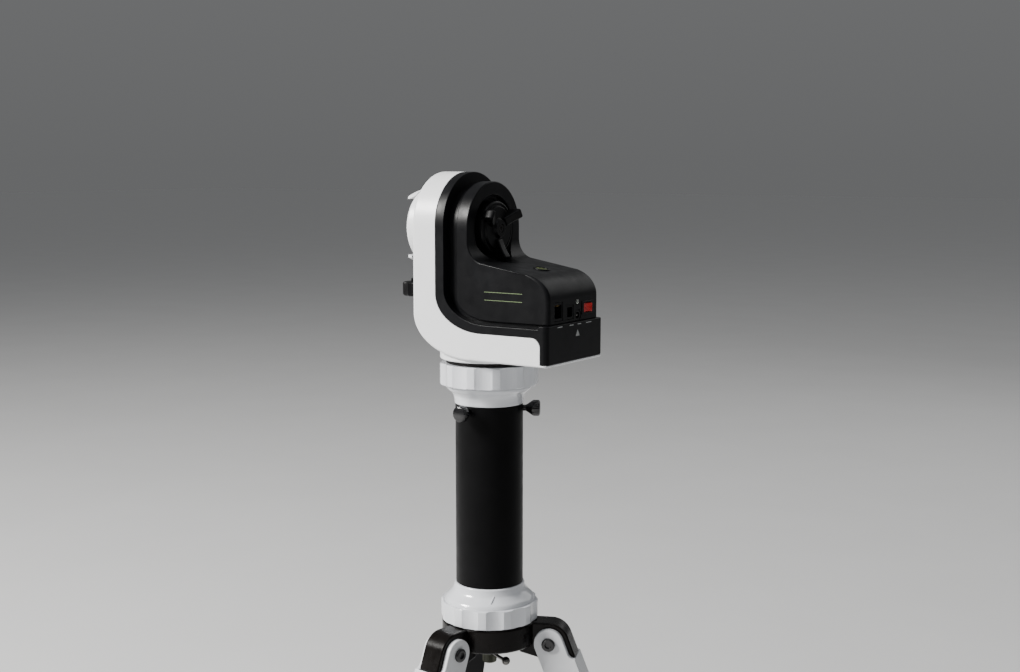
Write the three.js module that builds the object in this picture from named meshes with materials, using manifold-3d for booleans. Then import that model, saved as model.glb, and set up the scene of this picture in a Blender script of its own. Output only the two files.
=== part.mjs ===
// A motorised single-arm alt-azimuth telescope mount, on an extension pier and a folding tripod.
// Millimetres, +Z up, the feet on z = 0 and the origin at the middle of the footprint.
//
// The head has its own frame: the azimuth axis is its Z axis and z = 0 is its underside. The arm stands
// on the -X side with the telescope saddle on its outer face, and the foot reaches to +X.
// Each leg has its own frame too: the origin is its pivot, x points away from the pier, y along the
// pivot bolt, and -z down the leg.

import * as THREE from 'three';
import { mergeVertices } from 'three/addons/utils/BufferGeometryUtils.js';
import { RoundedBoxGeometry } from 'three/addons/geometries/RoundedBoxGeometry.js';
import Module from 'manifold-3d';

const wasm = await Module();
wasm.setup();

// ---------------------------------------------------------------- driving dimensions

const GAP = 0.3;            // clearance between neighbouring pieces
const FINE = 32;            // facets round a large turned piece
const MEDIUM = 20;          // ... round a piece of 10 to 25 mm
const COARSE = 12;          // ... round a small or an inner piece
const HOLE_FACETS = 24;     // ... round a hole in a toothed or scalloped outline

const LEG_AZIMUTHS = [22.5, 142.5, 262.5];     // degrees
const LEG_SPLAY = 21;                          // degrees from vertical, with the legs on their stops
const LEG_LENGTH = 620;                        // pivot to ground, along the leg
const PIVOT_RADIUS = 62;
const PIVOT_DROP = 282;                        // pivots below the underside of the head

const TUBE_RADIUS = 33;
const TUBE_WALL = 3;
const TUBE_TOP = -47.3;
const TUBE_BOTTOM = -225;
const RING_RADIUS = 48;                        // the scalloped rings at both ends of the pier
const RING_LOBES = 12;
const SCREW_AZIMUTHS = [28.5, 148.5, 268.5];
const SCREW_DROP = -52;

const HALF_DEPTH = 51;                         // of the head, along Y
const WALL = 3;
const ARM_LEFT = -54;
const ARM_RIGHT = 6;
const BAND = 27;                               // width of the white band round the heel
const FOOT_END = 90;
const COVER_END = 95.5;
const LIP_END = 97.3;                          // of the band below the cover's end face
const ARCH_Z = 125;                            // centre of the white arch at the top of the arm
const COVER_HALF = 44.5;
const COVER_ARCH_Z = 122.5;
const GROOVE_HALF = 42;
const ALTITUDE_Z = 122.5;                      // the altitude axis runs along X at this height
const POCKET_RADIUS = 31.5;
const SHAFT_RADIUS = 12;
const BEARING_RADIUS = 20;
const SADDLE_RADIUS = 37.5;
const SADDLE_FACE = -72.5;                     // outer face of the saddle disc
const SEAT_FACE = -74.5;                       // where a dovetail bar rests
const JAW_TIP = -80.5;
const JAW_HALF = 22;                           // half the length of the seat and jaws, along Y

// ---------------------------------------------------------------- making and joining shapes

const rad = THREE.MathUtils.degToRad;
const { PI, cos, sin } = Math;

// A closed geometry becomes a solid: shared vertices are merged and empty triangles dropped.
function solid(geometry) {
  if (geometry instanceof wasm.Manifold) return geometry;
  const bare = geometry.clone();
  bare.deleteAttribute('normal');
  bare.deleteAttribute('uv');
  const merged = mergeVertices(bare, 1e-4);
  const at = merged.attributes.position;
  const index = merged.index.array;
  const faces = [];
  let volume = 0;
  const [a, b, c] = [new THREE.Vector3(), new THREE.Vector3(), new THREE.Vector3()];
  for (let i = 0; i < index.length; i += 3) {
    const [p, q, r] = [index[i], index[i + 1], index[i + 2]];
    if (p === q || q === r || r === p) continue;
    faces.push(p, q, r);
    a.fromBufferAttribute(at, p);
    b.fromBufferAttribute(at, q);
    c.fromBufferAttribute(at, r);
    volume += a.dot(b.cross(c));
  }
  if (volume < 0) faces.reverse();
  return new wasm.Manifold(new wasm.Mesh({
    numProp: 3,
    vertProperties: new Float32Array(at.array),
    triVerts: new Uint32Array(faces),
  }));
}

const join = (...parts) => parts.map(solid).reduce((whole, part) => whole.add(part));
const cut = (body, ...tools) => tools.map(solid).reduce((left, tool) => left.subtract(tool), solid(body));
const common = (...parts) => parts.map(solid).reduce((shared, part) => shared.intersect(part));

function geometryOf(body) {
  const mesh = solid(body).getMesh();
  const geometry = new THREE.BufferGeometry();
  geometry.setAttribute('position', new THREE.BufferAttribute(new Float32Array(mesh.vertProperties), 3));
  geometry.setIndex(new THREE.BufferAttribute(new Uint32Array(mesh.triVerts), 1));
  geometry.computeVertexNormals();
  return geometry;
}

// A flat outline pushed along Z from z0 to z1.
function prismZ(outline, z0, z1, options = {}) {
  const settings = { depth: z1 - z0, bevelEnabled: false, curveSegments: 6, ...options };
  return new THREE.ExtrudeGeometry(outline, settings).translate(0, 0, z0);
}

// An outline drawn in (X, Z), pushed along Y.
const prismY = (outline, y0, y1, options) => prismZ(outline, -y1, -y0, options).rotateX(PI / 2);

// An outline drawn in (Y, Z), pushed along X.
const TO_X = new THREE.Matrix4().makeBasis(
  new THREE.Vector3(0, 1, 0), new THREE.Vector3(0, 0, 1), new THREE.Vector3(1, 0, 0));
const prismX = (outline, x0, x1, options) => prismZ(outline, x0, x1, options).applyMatrix4(TO_X);

const box = (x0, x1, y0, y1, z0, z1) => new THREE.BoxGeometry(x1 - x0, y1 - y0, z1 - z0)
  .translate((x0 + x1) / 2, (y0 + y1) / 2, (z0 + z1) / 2);

const roundedBox = (x0, x1, y0, y1, z0, z1, radius) =>
  new RoundedBoxGeometry(x1 - x0, y1 - y0, z1 - z0, 1, radius)
    .translate((x0 + x1) / 2, (y0 + y1) / 2, (z0 + z1) / 2);

const discZ = (radius, z0, z1, facets = FINE) =>
  new THREE.CylinderGeometry(radius, radius, z1 - z0, facets).rotateX(PI / 2).translate(0, 0, (z0 + z1) / 2);
const discX = (radius, x0, x1, facets = FINE) =>
  new THREE.CylinderGeometry(radius, radius, x1 - x0, facets).rotateZ(PI / 2).translate((x0 + x1) / 2, 0, 0);
const discY = (radius, y0, y1, facets = COARSE) =>
  new THREE.CylinderGeometry(radius, radius, y1 - y0, facets).translate(0, (y0 + y1) / 2, 0);

// A profile of [radius, height] points turned about Z, or about X with the heights along X.
const turnedZ = (profile, facets = FINE) =>
  new THREE.LatheGeometry(profile.map(([r, h]) => new THREE.Vector2(r, h)), facets).rotateX(PI / 2);
const turnedX = (profile, facets = FINE) =>
  new THREE.LatheGeometry(profile.map(([r, h]) => new THREE.Vector2(r, h)), facets).rotateZ(-PI / 2);

const ringProfile = (inner, outer, low, high) =>
  [[inner, low], [outer, low], [outer, high], [inner, high], [inner, low]];

// A closed outline given by its radius at each angle.
function polarOutline(radiusAt, steps) {
  const points = Array.from({ length: steps }, (_, i) => {
    const angle = (2 * PI * i) / steps;
    return new THREE.Vector2(radiusAt(angle) * cos(angle), radiusAt(angle) * sin(angle));
  });
  return new THREE.Shape(points);
}

// Hollows for the fingers, 0.7 of each lobe wide, between flat lands on a clamping ring.
function scallopedOutline(radius, depth) {
  const stepsPerLobe = 10;
  return polarOutline((angle) => {
    const hollow = ((angle * RING_LOBES) / (2 * PI) + 1e-6) % 1 / 0.7;
    return radius - (hollow < 1 ? depth * sin(PI * hollow) : 0);
  }, RING_LOBES * stepsPerLobe);
}

// The hole's flats, not its corners, are at the given radius.
const withHole = (outline, radius) => {
  const corner = radius / cos(PI / HOLE_FACETS);
  outline.holes.push(new THREE.Path(polarOutline(() => corner, HOLE_FACETS).getPoints()));
  return outline;
};

const PAINT = new THREE.MeshStandardMaterial({ color: 0xdcdedd, roughness: 0.38 });
const GLOSS_WHITE = new THREE.MeshStandardMaterial({ color: 0xe2e4e6, roughness: 0.22 });
const BLACK = new THREE.MeshStandardMaterial({ color: 0x141517, roughness: 0.42 });
const TUBE_BLACK = new THREE.MeshStandardMaterial({ color: 0x101011, roughness: 0.34, metalness: 0.5 });
const HUB_BLACK = new THREE.MeshStandardMaterial({ color: 0x17120f, roughness: 0.36 });
const KNOB_BLACK = new THREE.MeshStandardMaterial({ color: 0x0e0e0f, roughness: 0.5 });
const STEEL = new THREE.MeshStandardMaterial({ color: 0xb9bbbd, roughness: 0.25, metalness: 1 });
const BRASS = new THREE.MeshStandardMaterial({ color: 0xb08d46, roughness: 0.35, metalness: 1 });
const OLIVE = new THREE.MeshStandardMaterial({ color: 0x4f5145, roughness: 0.5, metalness: 0.6 });
const RUBBER = new THREE.MeshStandardMaterial({ color: 0x1b1b1b, roughness: 0.9 });
const RED = new THREE.MeshStandardMaterial({ color: 0xc8201c, roughness: 0.3 });
const BOARD_GREEN = new THREE.MeshStandardMaterial({ color: 0x1d5a34, roughness: 0.5 });
const LENS = new THREE.MeshStandardMaterial({ color: 0xd8e0c8, roughness: 0.1 });

function place(parent, name, body, material) {
  const mesh = new THREE.Mesh(geometryOf(body), material);
  mesh.name = name;
  parent.add(mesh);
}

// ---------------------------------------------------------------- tripod hub and its bolts

const HUB_TOP = -262;
const HUB_BOTTOM = -286;
const HUB_RADIUS = 47;
const LUG_HALF = 11.7;                 // lugs fit between the ears of the legs
const HOOD_RADIUS = 19.5;              // round top of a lug, over the head of its leg
const HOOD_DROP = 21.5;                // its outer lip, down the leg
const BOLT_RADIUS = 4;
const BOLT_HOLE = BOLT_RADIUS + GAP;

// One lug in its leg's frame. The lug is drawn along the splayed leg, and reaches back into the hub.
function hubLug() {
  const lip = new THREE.Shape();
  lip.moveTo(-14, 12);
  lip.absarc(0, 0, HOOD_RADIUS, rad(125), 0, true);
  lip.lineTo(HOOD_RADIUS, -HOOD_DROP);
  lip.lineTo(HOOD_RADIUS - 5.5, -HOOD_DROP);
  lip.lineTo(8, -13.5);
  lip.lineTo(-12, -13.5);
  const back = box(34 - PIVOT_RADIUS, 0, -LUG_HALF, LUG_HALF, PIVOT_DROP + HUB_BOTTOM - 7, HOOD_RADIUS);
  const web = prismY(lip, -LUG_HALF, LUG_HALF).rotateY(-rad(LEG_SPLAY));
  return cut(join(back, web), discY(BOLT_HOLE, -20, 20));
}

function tripodHub() {
  const plate = turnedZ([[0, HUB_BOTTOM], [HUB_RADIUS - 2, HUB_BOTTOM], [HUB_RADIUS, HUB_BOTTOM + 2],
    [HUB_RADIUS, HUB_TOP - 1.5], [HUB_RADIUS - 1.5, HUB_TOP], [0, HUB_TOP]]);
  const lugs = LEG_AZIMUTHS.map((azimuth) => {
    const lug = new THREE.Matrix4().makeRotationZ(rad(azimuth))
      .multiply(new THREE.Matrix4().makeTranslation(PIVOT_RADIUS, 0, -PIVOT_DROP));
    return geometryOf(hubLug()).applyMatrix4(lug);
  });
  return cut(join(plate, ...lugs), discZ(5.4, HUB_BOTTOM - 20, HUB_TOP + 20, COARSE));
}

const EAR_HALF = 17;

function pivotBolt() {
  const head = (side) => turnedZ([[0, 0], [6.6, 0], [6.6, 2], [5.4, 3], [0, 3]], COARSE)
    .rotateX(side * -PI / 2).translate(0, side * (EAR_HALF + GAP), 0);
  return join(discY(BOLT_RADIUS, -EAR_HALF - 1, EAR_HALF + 1), head(1), head(-1));
}

const CENTRE_BOLT_LOW = -309;
const TOMMY_DROP = -299;
const TOMMY_AZIMUTH = -25;
const TOMMY_REACH = 31;

function centreBolt() {
  const knurl = polarOutline((angle) => 7 - 0.4 * Math.abs(sin(9 * angle)), 36);
  const knob = prismZ(knurl, CENTRE_BOLT_LOW, HUB_BOTTOM - GAP);
  const barHole = new THREE.CylinderGeometry(2.1, 2.1, 30, COARSE).rotateZ(PI / 2)
    .rotateZ(rad(TOMMY_AZIMUTH)).translate(0, 0, TOMMY_DROP);
  return cut(join(knob, discZ(5, HUB_BOTTOM - 1, -246, COARSE)), barHole);
}

function tommyBar() {
  const ball = new THREE.SphereGeometry(4.2, COARSE, 10).translate(TOMMY_REACH, 0, 0);
  const rod = discX(1.8, -9, TOMMY_REACH, COARSE);
  return geometryOf(join(rod, ball)).rotateZ(rad(TOMMY_AZIMUTH)).translate(0, 0, TOMMY_DROP);
}

// ---------------------------------------------------------------- one telescopic leg, in its own frame

const EAR_RADIUS = 14.7;
const LEG_OUT = 20;                    // outer face of the upper leg
const LEG_IN = -14.7;
const SHOULDER = -HOOD_DROP - 0.8;     // where the outer face begins, below the lug's lip
const UPPER_END = -335;
const COLLAR_END = -372;
const LEVER_X = 30;
const LEVER_Z = -364;
const LOWER_TOP = -60;
const LOWER_END = -600;

function upperLeg() {
  const side = new THREE.Shape();
  side.absarc(0, 0, EAR_RADIUS, 0, PI, false);
  side.lineTo(LEG_IN, UPPER_END);
  side.lineTo(LEG_OUT, UPPER_END);
  side.lineTo(LEG_OUT, SHOULDER);
  side.lineTo(EAR_RADIUS, SHOULDER + 4);
  return cut(
    prismY(side, -EAR_HALF, EAR_HALF),
    box(-30, 30, -LUG_HALF - GAP, LUG_HALF + GAP, SHOULDER, 30),
    box(-30, LEG_OUT - WALL, -14, 14, UPPER_END - 1, SHOULDER + 0.5),
    discY(BOLT_HOLE, -20, 20),
  );
}

function clampCollar() {
  const lug = new THREE.Shape();
  lug.moveTo(22, LEVER_Z + 8);
  lug.lineTo(LEVER_X, LEVER_Z + 6);
  lug.absarc(LEVER_X, LEVER_Z, 6, PI / 2, -PI / 2, true);
  lug.lineTo(22, LEVER_Z - 7);
  const ears = [-12.5, 8.5].map((y) => prismY(lug, y, y + 4, { curveSegments: 8 }));
  return cut(
    join(roundedBox(-19, 24, -21, 21, COLLAR_END, UPPER_END - GAP, 3), ...ears),
    box(-13.4, 16.4, -13.9, 13.9, COLLAR_END - 1, UPPER_END + 1),
    discY(2.4, -20, 20).translate(LEVER_X, 0, LEVER_Z),
  );
}

// A cam lever on its cross pin; it lies along the leg when the clamp is shut.
function clampLever() {
  const paddle = new THREE.Shape();
  paddle.absarc(LEVER_X, LEVER_Z, 5.4, PI, 2 * PI, false);
  paddle.quadraticCurveTo(LEVER_X + 5, LEVER_Z + 12, LEVER_X - 1, LEVER_Z + 20);
  paddle.lineTo(LEVER_X - 1.5, LEVER_Z + 44);
  paddle.absarc(LEVER_X - 3.5, LEVER_Z + 44, 2, 0, PI, false);
  const pivot = discY(2, -12.3, 12.3).translate(LEVER_X, 0, LEVER_Z);
  return join(prismY(paddle, -8, 8, { curveSegments: 8 }), pivot);
}

function lowerLeg() {
  return cut(box(-13, 16, -13.5, 13.5, LOWER_END, LOWER_TOP),
    box(-11.4, 14.4, -11.9, 11.9, LOWER_END - 1, LOWER_TOP + 1));
}

// A rubber foot on a plug in the leg's end, cut flat where it stands on the ground.
function rubberFoot() {
  const pad = turnedZ([[0, -645], [16, -645], [16, -612], [14.5, -606], [14.5, LOWER_END - GAP],
    [0, LOWER_END - GAP]], MEDIUM).translate(1.5, 0, 0);
  const plug = box(-11, 14, -11.5, 11.5, LOWER_END - 2, LOWER_END + 14);
  const ground = box(-600, 600, -50, 50, -900, -LEG_LENGTH * cos(rad(LEG_SPLAY))).rotateY(rad(LEG_SPLAY));
  return cut(join(pad, plug), ground);
}

// ---------------------------------------------------------------- extension pier

function pierBase() {
  const plugTop = TUBE_BOTTOM + 22;
  const cone = turnedZ([[0, HUB_TOP + 4], [44.5, HUB_TOP + 4], [45, -243], [43, -238.5], [37.5, -234],
    [35, -229], [34.4, TUBE_BOTTOM - GAP], [29.7, TUBE_BOTTOM - GAP], [29.7, plugTop], [0, plugTop]]);
  const ring = prismZ(scallopedOutline(RING_RADIUS - 1, 2), HUB_TOP + GAP + 1, -244,
    { bevelEnabled: true, bevelThickness: 1, bevelSize: 1, bevelOffset: 0, bevelSegments: 1 });
  return cut(join(cone, ring), discZ(5.4, HUB_TOP - 1, plugTop + 1, COARSE));
}

const SCREW_STEM = 3;

// The screws' own frame: x points out of the pier, along the screw.
function pierTube() {
  const holes = SCREW_AZIMUTHS.map((azimuth) => discX(SCREW_STEM + GAP, 20, 40, COARSE)
    .rotateZ(rad(azimuth)).translate(0, 0, SCREW_DROP));
  return cut(turnedZ(ringProfile(TUBE_RADIUS - TUBE_WALL, TUBE_RADIUS, TUBE_BOTTOM, TUBE_TOP)), ...holes);
}

function pierCap() {
  const low = TUBE_TOP + GAP;
  return turnedZ([[14, -66], [29.6, -66], [29.6, low], [33.6, low], [34, -42], [35.6, -37.5], [40, -33.5],
    [42, -31], [42, -28.4], [14, -28.4], [14, -66]]);
}

function thumbScrew() {
  return turnedX([[0, 30.1], [SCREW_STEM, 30.1], [SCREW_STEM, 35.5], [4.2, 37.5], [7.2, 42], [7.9, 43.5],
    [7.9, 48.6], [7.1, 49.8], [0, 49.8]], 20).translate(0, 0, SCREW_DROP);
}

function clutchRing() {
  const outline = withHole(scallopedOutline(RING_RADIUS - 1, 2), 35.5);
  return prismZ(outline, -27, -8,
    { bevelEnabled: true, bevelThickness: 1, bevelSize: 1, bevelSegments: 1 }).rotateZ(rad(17));
}

// ---------------------------------------------------------------- azimuth drive

const SPINDLE_RADIUS = 22;
const FLANGE_TOP = 12;
const FLANGE_BORE = 30;
const WORM_RADIUS = 5;
const WHEEL_TEETH = 24;
const AZ_WHEEL_RADIUS = 31;
const AZ_DRIVE_Z = 19.6;
const AZ_WORM_Y = AZ_WHEEL_RADIUS + WORM_RADIUS + 0.6;
const ALT_WHEEL_RADIUS = 30;
const ALT_DRIVE_X = -21;
const ALT_WORM_Z = ALTITUDE_Z - ALT_WHEEL_RADIUS - WORM_RADIUS - 0.6;
const MOTOR_RADIUS = 6.7;

function azimuthSpindle() {
  return turnedZ([[12, -28], [33.8, -28], [33.8, -6.9], [42, -6.7], [42, -3.4], [SPINDLE_RADIUS, -3.2],
    [SPINDLE_RADIUS, 30], [12, 30], [12, -28]]);
}

const toothedWheel = (radius, bore) => withHole(polarOutline((angle) => {
  const phase = ((angle * WHEEL_TEETH) / (2 * PI)) % 1;
  return phase < 0.45 ? radius : radius - 2.2;
}, WHEEL_TEETH * 4), bore);

// A worm along X, its thread as a row of ridges.
function worm(length) {
  const pitch = length / 5;
  const profile = [[0, -length / 2]];
  for (let ridge = 0; ridge < 5; ridge += 1) {
    const at = ridge * pitch - length / 2;
    profile.push([3.4, at], [WORM_RADIUS, at + 0.4 * pitch], [WORM_RADIUS, at + 0.6 * pitch]);
  }
  profile.push([3.4, length / 2], [0, length / 2]);
  return turnedX(profile, 10);
}

// A small geared motor along X, from x0 to x1, with its output shaft short of the worm.
const motor = (x0, x1) => join(discX(MOTOR_RADIUS, x0 + 6, x1, COARSE),
  roundedBox(x0, x0 + 7, -MOTOR_RADIUS, MOTOR_RADIUS, -MOTOR_RADIUS, MOTOR_RADIUS, 1));

function baseFlange() {
  return turnedZ([[FLANGE_BORE, -2.9], [46.5, -2.9], [47.5, -1.9], [47.5, 8.5], [45, FLANGE_TOP],
    [FLANGE_BORE, FLANGE_TOP], [FLANGE_BORE, -2.9]]);
}

// ---------------------------------------------------------------- white frame of the head

const HEEL = { x: 12, z: 42 };                     // centre of the outer curve round the heel
const CROTCH = { x: 24, z: 62 };                   // centre of the curve between white and black
const BAND_RIGHT = ARM_LEFT + BAND;
const BAND_TOP = 26.6;
const FOOT_CORNER = 9;
const HIGH = 200;                                  // above everything, for cutting
const BATTERY = { x0: 50, x1: 86, half: 34 };      // hatch in the floor of the foot

// The white band seen from the front: under the foot, round the heel and up the arm.
function bandOutline() {
  const s = new THREE.Shape();
  s.moveTo(LIP_END, 0);
  s.lineTo(HEEL.x, 0);
  s.absellipse(HEEL.x, HEEL.z, HEEL.x - ARM_LEFT, HEEL.z, -PI / 2, -PI, true);
  s.lineTo(ARM_LEFT, HIGH);
  s.lineTo(BAND_RIGHT, HIGH);
  s.absellipse(CROTCH.x, CROTCH.z, CROTCH.x - BAND_RIGHT, CROTCH.z - BAND_TOP, PI, 1.5 * PI, false);
  s.lineTo(FOOT_END - FOOT_CORNER, BAND_TOP);
  s.absarc(FOOT_END - FOOT_CORNER, BAND_TOP - FOOT_CORNER, FOOT_CORNER, PI / 2, 0, true);
  s.lineTo(FOOT_END, 2);
  s.lineTo(LIP_END, 2);
  return s;
}

function bandCavity() {
  const s = new THREE.Shape();
  s.moveTo(FOOT_END - WALL, WALL);
  s.lineTo(HEEL.x, WALL);
  s.absellipse(HEEL.x, HEEL.z, HEEL.x - ARM_LEFT - WALL, HEEL.z - WALL, -PI / 2, -PI, true);
  s.lineTo(ARM_LEFT + WALL, HIGH);
  s.lineTo(0, HIGH);
  s.lineTo(0, 45);
  s.lineTo(FOOT_END - WALL, 45);
  return s;
}

// An arched doorway in (Y, Z), which rounds the top of the arm.
function archOutline(half, centre) {
  const s = new THREE.Shape();
  s.moveTo(-half, -10);
  s.lineTo(-half, centre);
  s.absarc(0, centre, half, PI, 0, true);
  s.lineTo(half, -10);
  return s;
}

const arched = (outline, half, centre) => common(
  prismY(outline, -half, half),
  prismX(archOutline(half, centre), -100, 150, { curveSegments: 9 }),
);

const onAltitudeAxis = (geometry) => geometry.translate(0, 0, ALTITUDE_Z);

function whiteFrame() {
  const boss = onAltitudeAxis(turnedX(ringProfile(BEARING_RADIUS + GAP, 24, ARM_LEFT + 2, -44), MEDIUM));
  return cut(
    join(cut(arched(bandOutline(), HALF_DEPTH, ARCH_Z),
      arched(bandCavity(), HALF_DEPTH - WALL, ARCH_Z)), boss),
    discZ(47.5 + GAP, -1, FLANGE_TOP + GAP),
    box(BATTERY.x0, BATTERY.x1, -BATTERY.half, BATTERY.half, -1, WALL + 0.5),
    onAltitudeAxis(discX(SHAFT_RADIUS + 0.6, ARM_LEFT - 1, -40, MEDIUM)),
  );
}

// ---------------------------------------------------------------- black cover of the head

const RIM = { x: -17, z: 34.8, centre: { x: 30, z: 66 } };       // inner edge of the flush black rim
const RAISED = { x: -7, z: 38, centre: { x: 30, z: 58 } };       // edge of the raised cover
const SLOPE_START = { x: 20, z: 92.3 };                          // top of the foot, beside the arm
const SLOPE_END = { x: 73, z: 83.2 };                            // ... and before its rounded end

// The top of the foot from its end face to the arm, moved inwards by inset.
function coverTop(s, inset) {
  s.lineTo(COVER_END - inset, 60);
  s.bezierCurveTo(COVER_END - inset, 71 - inset / 2, 87 - inset / 2, 79.5 - inset,
    SLOPE_END.x, SLOPE_END.z - inset);
  s.lineTo(SLOPE_START.x - inset, SLOPE_START.z - inset);
  s.bezierCurveTo(12 - inset, 94.5 - inset, ARM_RIGHT - inset, 101 - inset, ARM_RIGHT - inset, 112);
  s.lineTo(ARM_RIGHT - inset, HIGH);
}

// The edge that follows the white band, and the way round the band's corner to the end plate.
function coverSeam(s) {
  s.lineTo(BAND_RIGHT + GAP, HIGH);
  s.absellipse(CROTCH.x, CROTCH.z, CROTCH.x - BAND_RIGHT - GAP, CROTCH.z - BAND_TOP - GAP,
    PI, 1.5 * PI, false);
  s.absarc(FOOT_END - FOOT_CORNER, BAND_TOP - FOOT_CORNER, FOOT_CORNER + GAP, PI / 2, 0, true);
}

function rimOutline() {
  const s = new THREE.Shape();
  s.moveTo(FOOT_END + GAP, 2 + GAP);
  s.lineTo(LIP_END, 2 + GAP);
  s.lineTo(LIP_END, RAISED.z);
  s.lineTo(88.5, RAISED.z);
  s.lineTo(88.5, RIM.z);
  s.absellipse(RIM.centre.x, RIM.centre.z, RIM.centre.x - RIM.x, RIM.centre.z - RIM.z, -PI / 2, -PI, true);
  s.lineTo(RIM.x, HIGH);
  coverSeam(s);
  return s;
}

function grooveOutline() {
  const s = new THREE.Shape();
  s.moveTo(FOOT_END + GAP, 2 + GAP);
  s.lineTo(COVER_END, 2 + GAP);
  coverTop(s, 0);
  coverSeam(s);
  return s;
}

function raisedOutline() {
  const s = new THREE.Shape();
  s.moveTo(COVER_END, RAISED.z);
  coverTop(s, 0);
  s.lineTo(RAISED.x, HIGH);
  s.absellipse(RAISED.centre.x, RAISED.centre.z, RAISED.centre.x - RAISED.x,
    RAISED.centre.z - RAISED.z, PI, 1.5 * PI, false);
  return s;
}

function coverCavity() {
  const s = new THREE.Shape();
  s.moveTo(COVER_END - WALL, 5.3);
  coverTop(s, WALL);
  s.lineTo(-40, HIGH);
  s.lineTo(-40, 5.3);
  return s;
}

// Sockets, lamp and switch on the end face: middle and half sizes, in (Y, Z).
const HAND_PORT = { y: -27.5, z: 49.5, halfY: 7.5, halfZ: 8.5 };
const SNAP_PORT = { y: -7, z: 47.5, halfY: 6, halfZ: 6.5 };
const BEZEL = { y: 24.25, z: 49.5, halfY: 10.2, halfZ: 6.5 };
const POWER_JACK = { y: 7, z: 43.5, radius: 5.4 };
const LAMP = { y: 6, z: 56, radius: 2.5 };
const SLOPE_TILT = Math.atan2(SLOPE_START.z - SLOPE_END.z, SLOPE_END.x - SLOPE_START.x);
const LEVEL = { x: 60, radius: 8, tilt: SLOPE_TILT };
LEVEL.z = SLOPE_START.z - (LEVEL.x - SLOPE_START.x) * Math.tan(LEVEL.tilt);

const faceBox = (at, x0, x1, grow) => box(x0, x1, at.y - at.halfY - grow, at.y + at.halfY + grow,
  at.z - at.halfZ - grow, at.z + at.halfZ + grow);
const faceDisc = (at, x0, x1, grow) => discX(at.radius + grow, x0, x1, COARSE).translate(0, at.y, at.z);
const onLevel = (geometry) => geometry.rotateY(LEVEL.tilt).translate(LEVEL.x, 0, LEVEL.z);

function blackCover() {
  const shell = cut(
    join(
      arched(rimOutline(), HALF_DEPTH, ARCH_Z),
      arched(raisedOutline(), COVER_HALF, COVER_ARCH_Z),
      arched(grooveOutline(), GROOVE_HALF, COVER_ARCH_Z),
    ),
    arched(coverCavity(), GROOVE_HALF - WALL, COVER_ARCH_Z),
  );
  const cup = onAltitudeAxis(discX(POCKET_RADIUS + WALL, -5, ARM_RIGHT));
  const boss = onAltitudeAxis(discX(24, -12, -4, MEDIUM));
  const levelSeat = onLevel(discZ(LEVEL.radius + 3, -6, -1, MEDIUM));
  return cut(
    join(shell, common(cup, prismX(archOutline(COVER_HALF - 1, COVER_ARCH_Z), -20, 20)), boss, levelSeat),
    onAltitudeAxis(discX(POCKET_RADIUS, -2, 40)),
    onAltitudeAxis(discX(BEARING_RADIUS + GAP, -20, -5, MEDIUM)),
    onAltitudeAxis(discX(SHAFT_RADIUS + 0.6, -20, 20, MEDIUM)),
    onLevel(discZ(LEVEL.radius + GAP, -3, 20, MEDIUM)),
    faceBox(HAND_PORT, 85, 100, GAP),
    faceBox(SNAP_PORT, 85, 100, GAP),
    faceBox(BEZEL, 85, 100, GAP),
    faceDisc(POWER_JACK, 85, 100, GAP),
    faceDisc(LAMP, 85, 100, GAP),
  );
}

// ---------------------------------------------------------------- small parts of the head

const SOCKET_BACK = 83.5;
const SOCKET_FACE = COVER_END - 0.3;

function socket(at, openY, openZ) {
  return cut(faceBox(at, SOCKET_BACK, SOCKET_FACE, 0),
    box(SOCKET_BACK + 2, SOCKET_FACE + 1, at.y - openY, at.y + openY, at.z - openZ, at.z + openZ));
}

function powerJack() {
  const { y, z, radius } = POWER_JACK;
  return turnedX([[0, 84], [radius, 84], [radius, SOCKET_FACE], [3.1, SOCKET_FACE], [3.1, 86.5],
    [1.1, 86.5], [1.1, SOCKET_FACE - 0.7], [0, SOCKET_FACE - 0.3]], COARSE).translate(0, y, z);
}

function statusLamp() {
  const { y, z, radius } = LAMP;
  return turnedX([[0, 90], [radius, 90], [radius, 95.4], [1.8, 96.2], [0, 96.5]], COARSE).translate(0, y, z);
}

const ROCKER_X = 92.5;                 // its pivot, inside the bezel
const ROCKER_REST = -10;               // degrees: one side pressed in

function switchBezel() {
  return cut(faceBox(BEZEL, 85, COVER_END + 0.6, 0),
    box(87, 100, BEZEL.y - 8.1, BEZEL.y + 8.1, BEZEL.z - 4.8, BEZEL.z + 4.8));
}

// A shallow roof shape on a pivot, in its own frame.
function rocker() {
  const s = new THREE.Shape();
  s.moveTo(-3, -4.4);
  s.lineTo(1.2, -7.3);
  s.lineTo(5, -7.3);
  s.quadraticCurveTo(3.4, 0, 5, 7.3);
  s.lineTo(1.2, 7.3);
  s.lineTo(-3, 4.4);
  return prismZ(s, -4.4, 4.4);
}

function bubbleLevel() {
  return onLevel(turnedZ([[0, -2.6], [LEVEL.radius, -2.6], [LEVEL.radius, 0.5], [LEVEL.radius - 0.6, 1],
    [6, 1], [5.6, 0.6], [0, 1.1]], MEDIUM));
}

function controlBoard() {
  const chips = [[14, 26, 50, 62], [34, 42, 56, 64], [50, 66, 48, 58], [70, 78, 60, 70]];
  return join(box(5, 82, -38.4, -36.8, 42, 76),
    ...chips.map(([x0, x1, z0, z1]) => box(x0, x1, -37, -35, z0, z1)));
}

// Eight upright cells in two rows on one tray.
function batteryHolder() {
  const cellRadius = 7.1;
  const pitch = 14.7;
  const cells = [];
  for (const row of [-0.5, 0.5]) {
    for (const column of [-1.5, -0.5, 0.5, 1.5]) {
      cells.push(discZ(cellRadius, 6, 57, 14).translate(66 + row * pitch, column * pitch, 0));
    }
  }
  const plate = (z0, z1) => box(51, 81, -30, 30, z0, z1);
  return join(plate(4.5, 7.5), plate(56, 58), ...cells);
}

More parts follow.
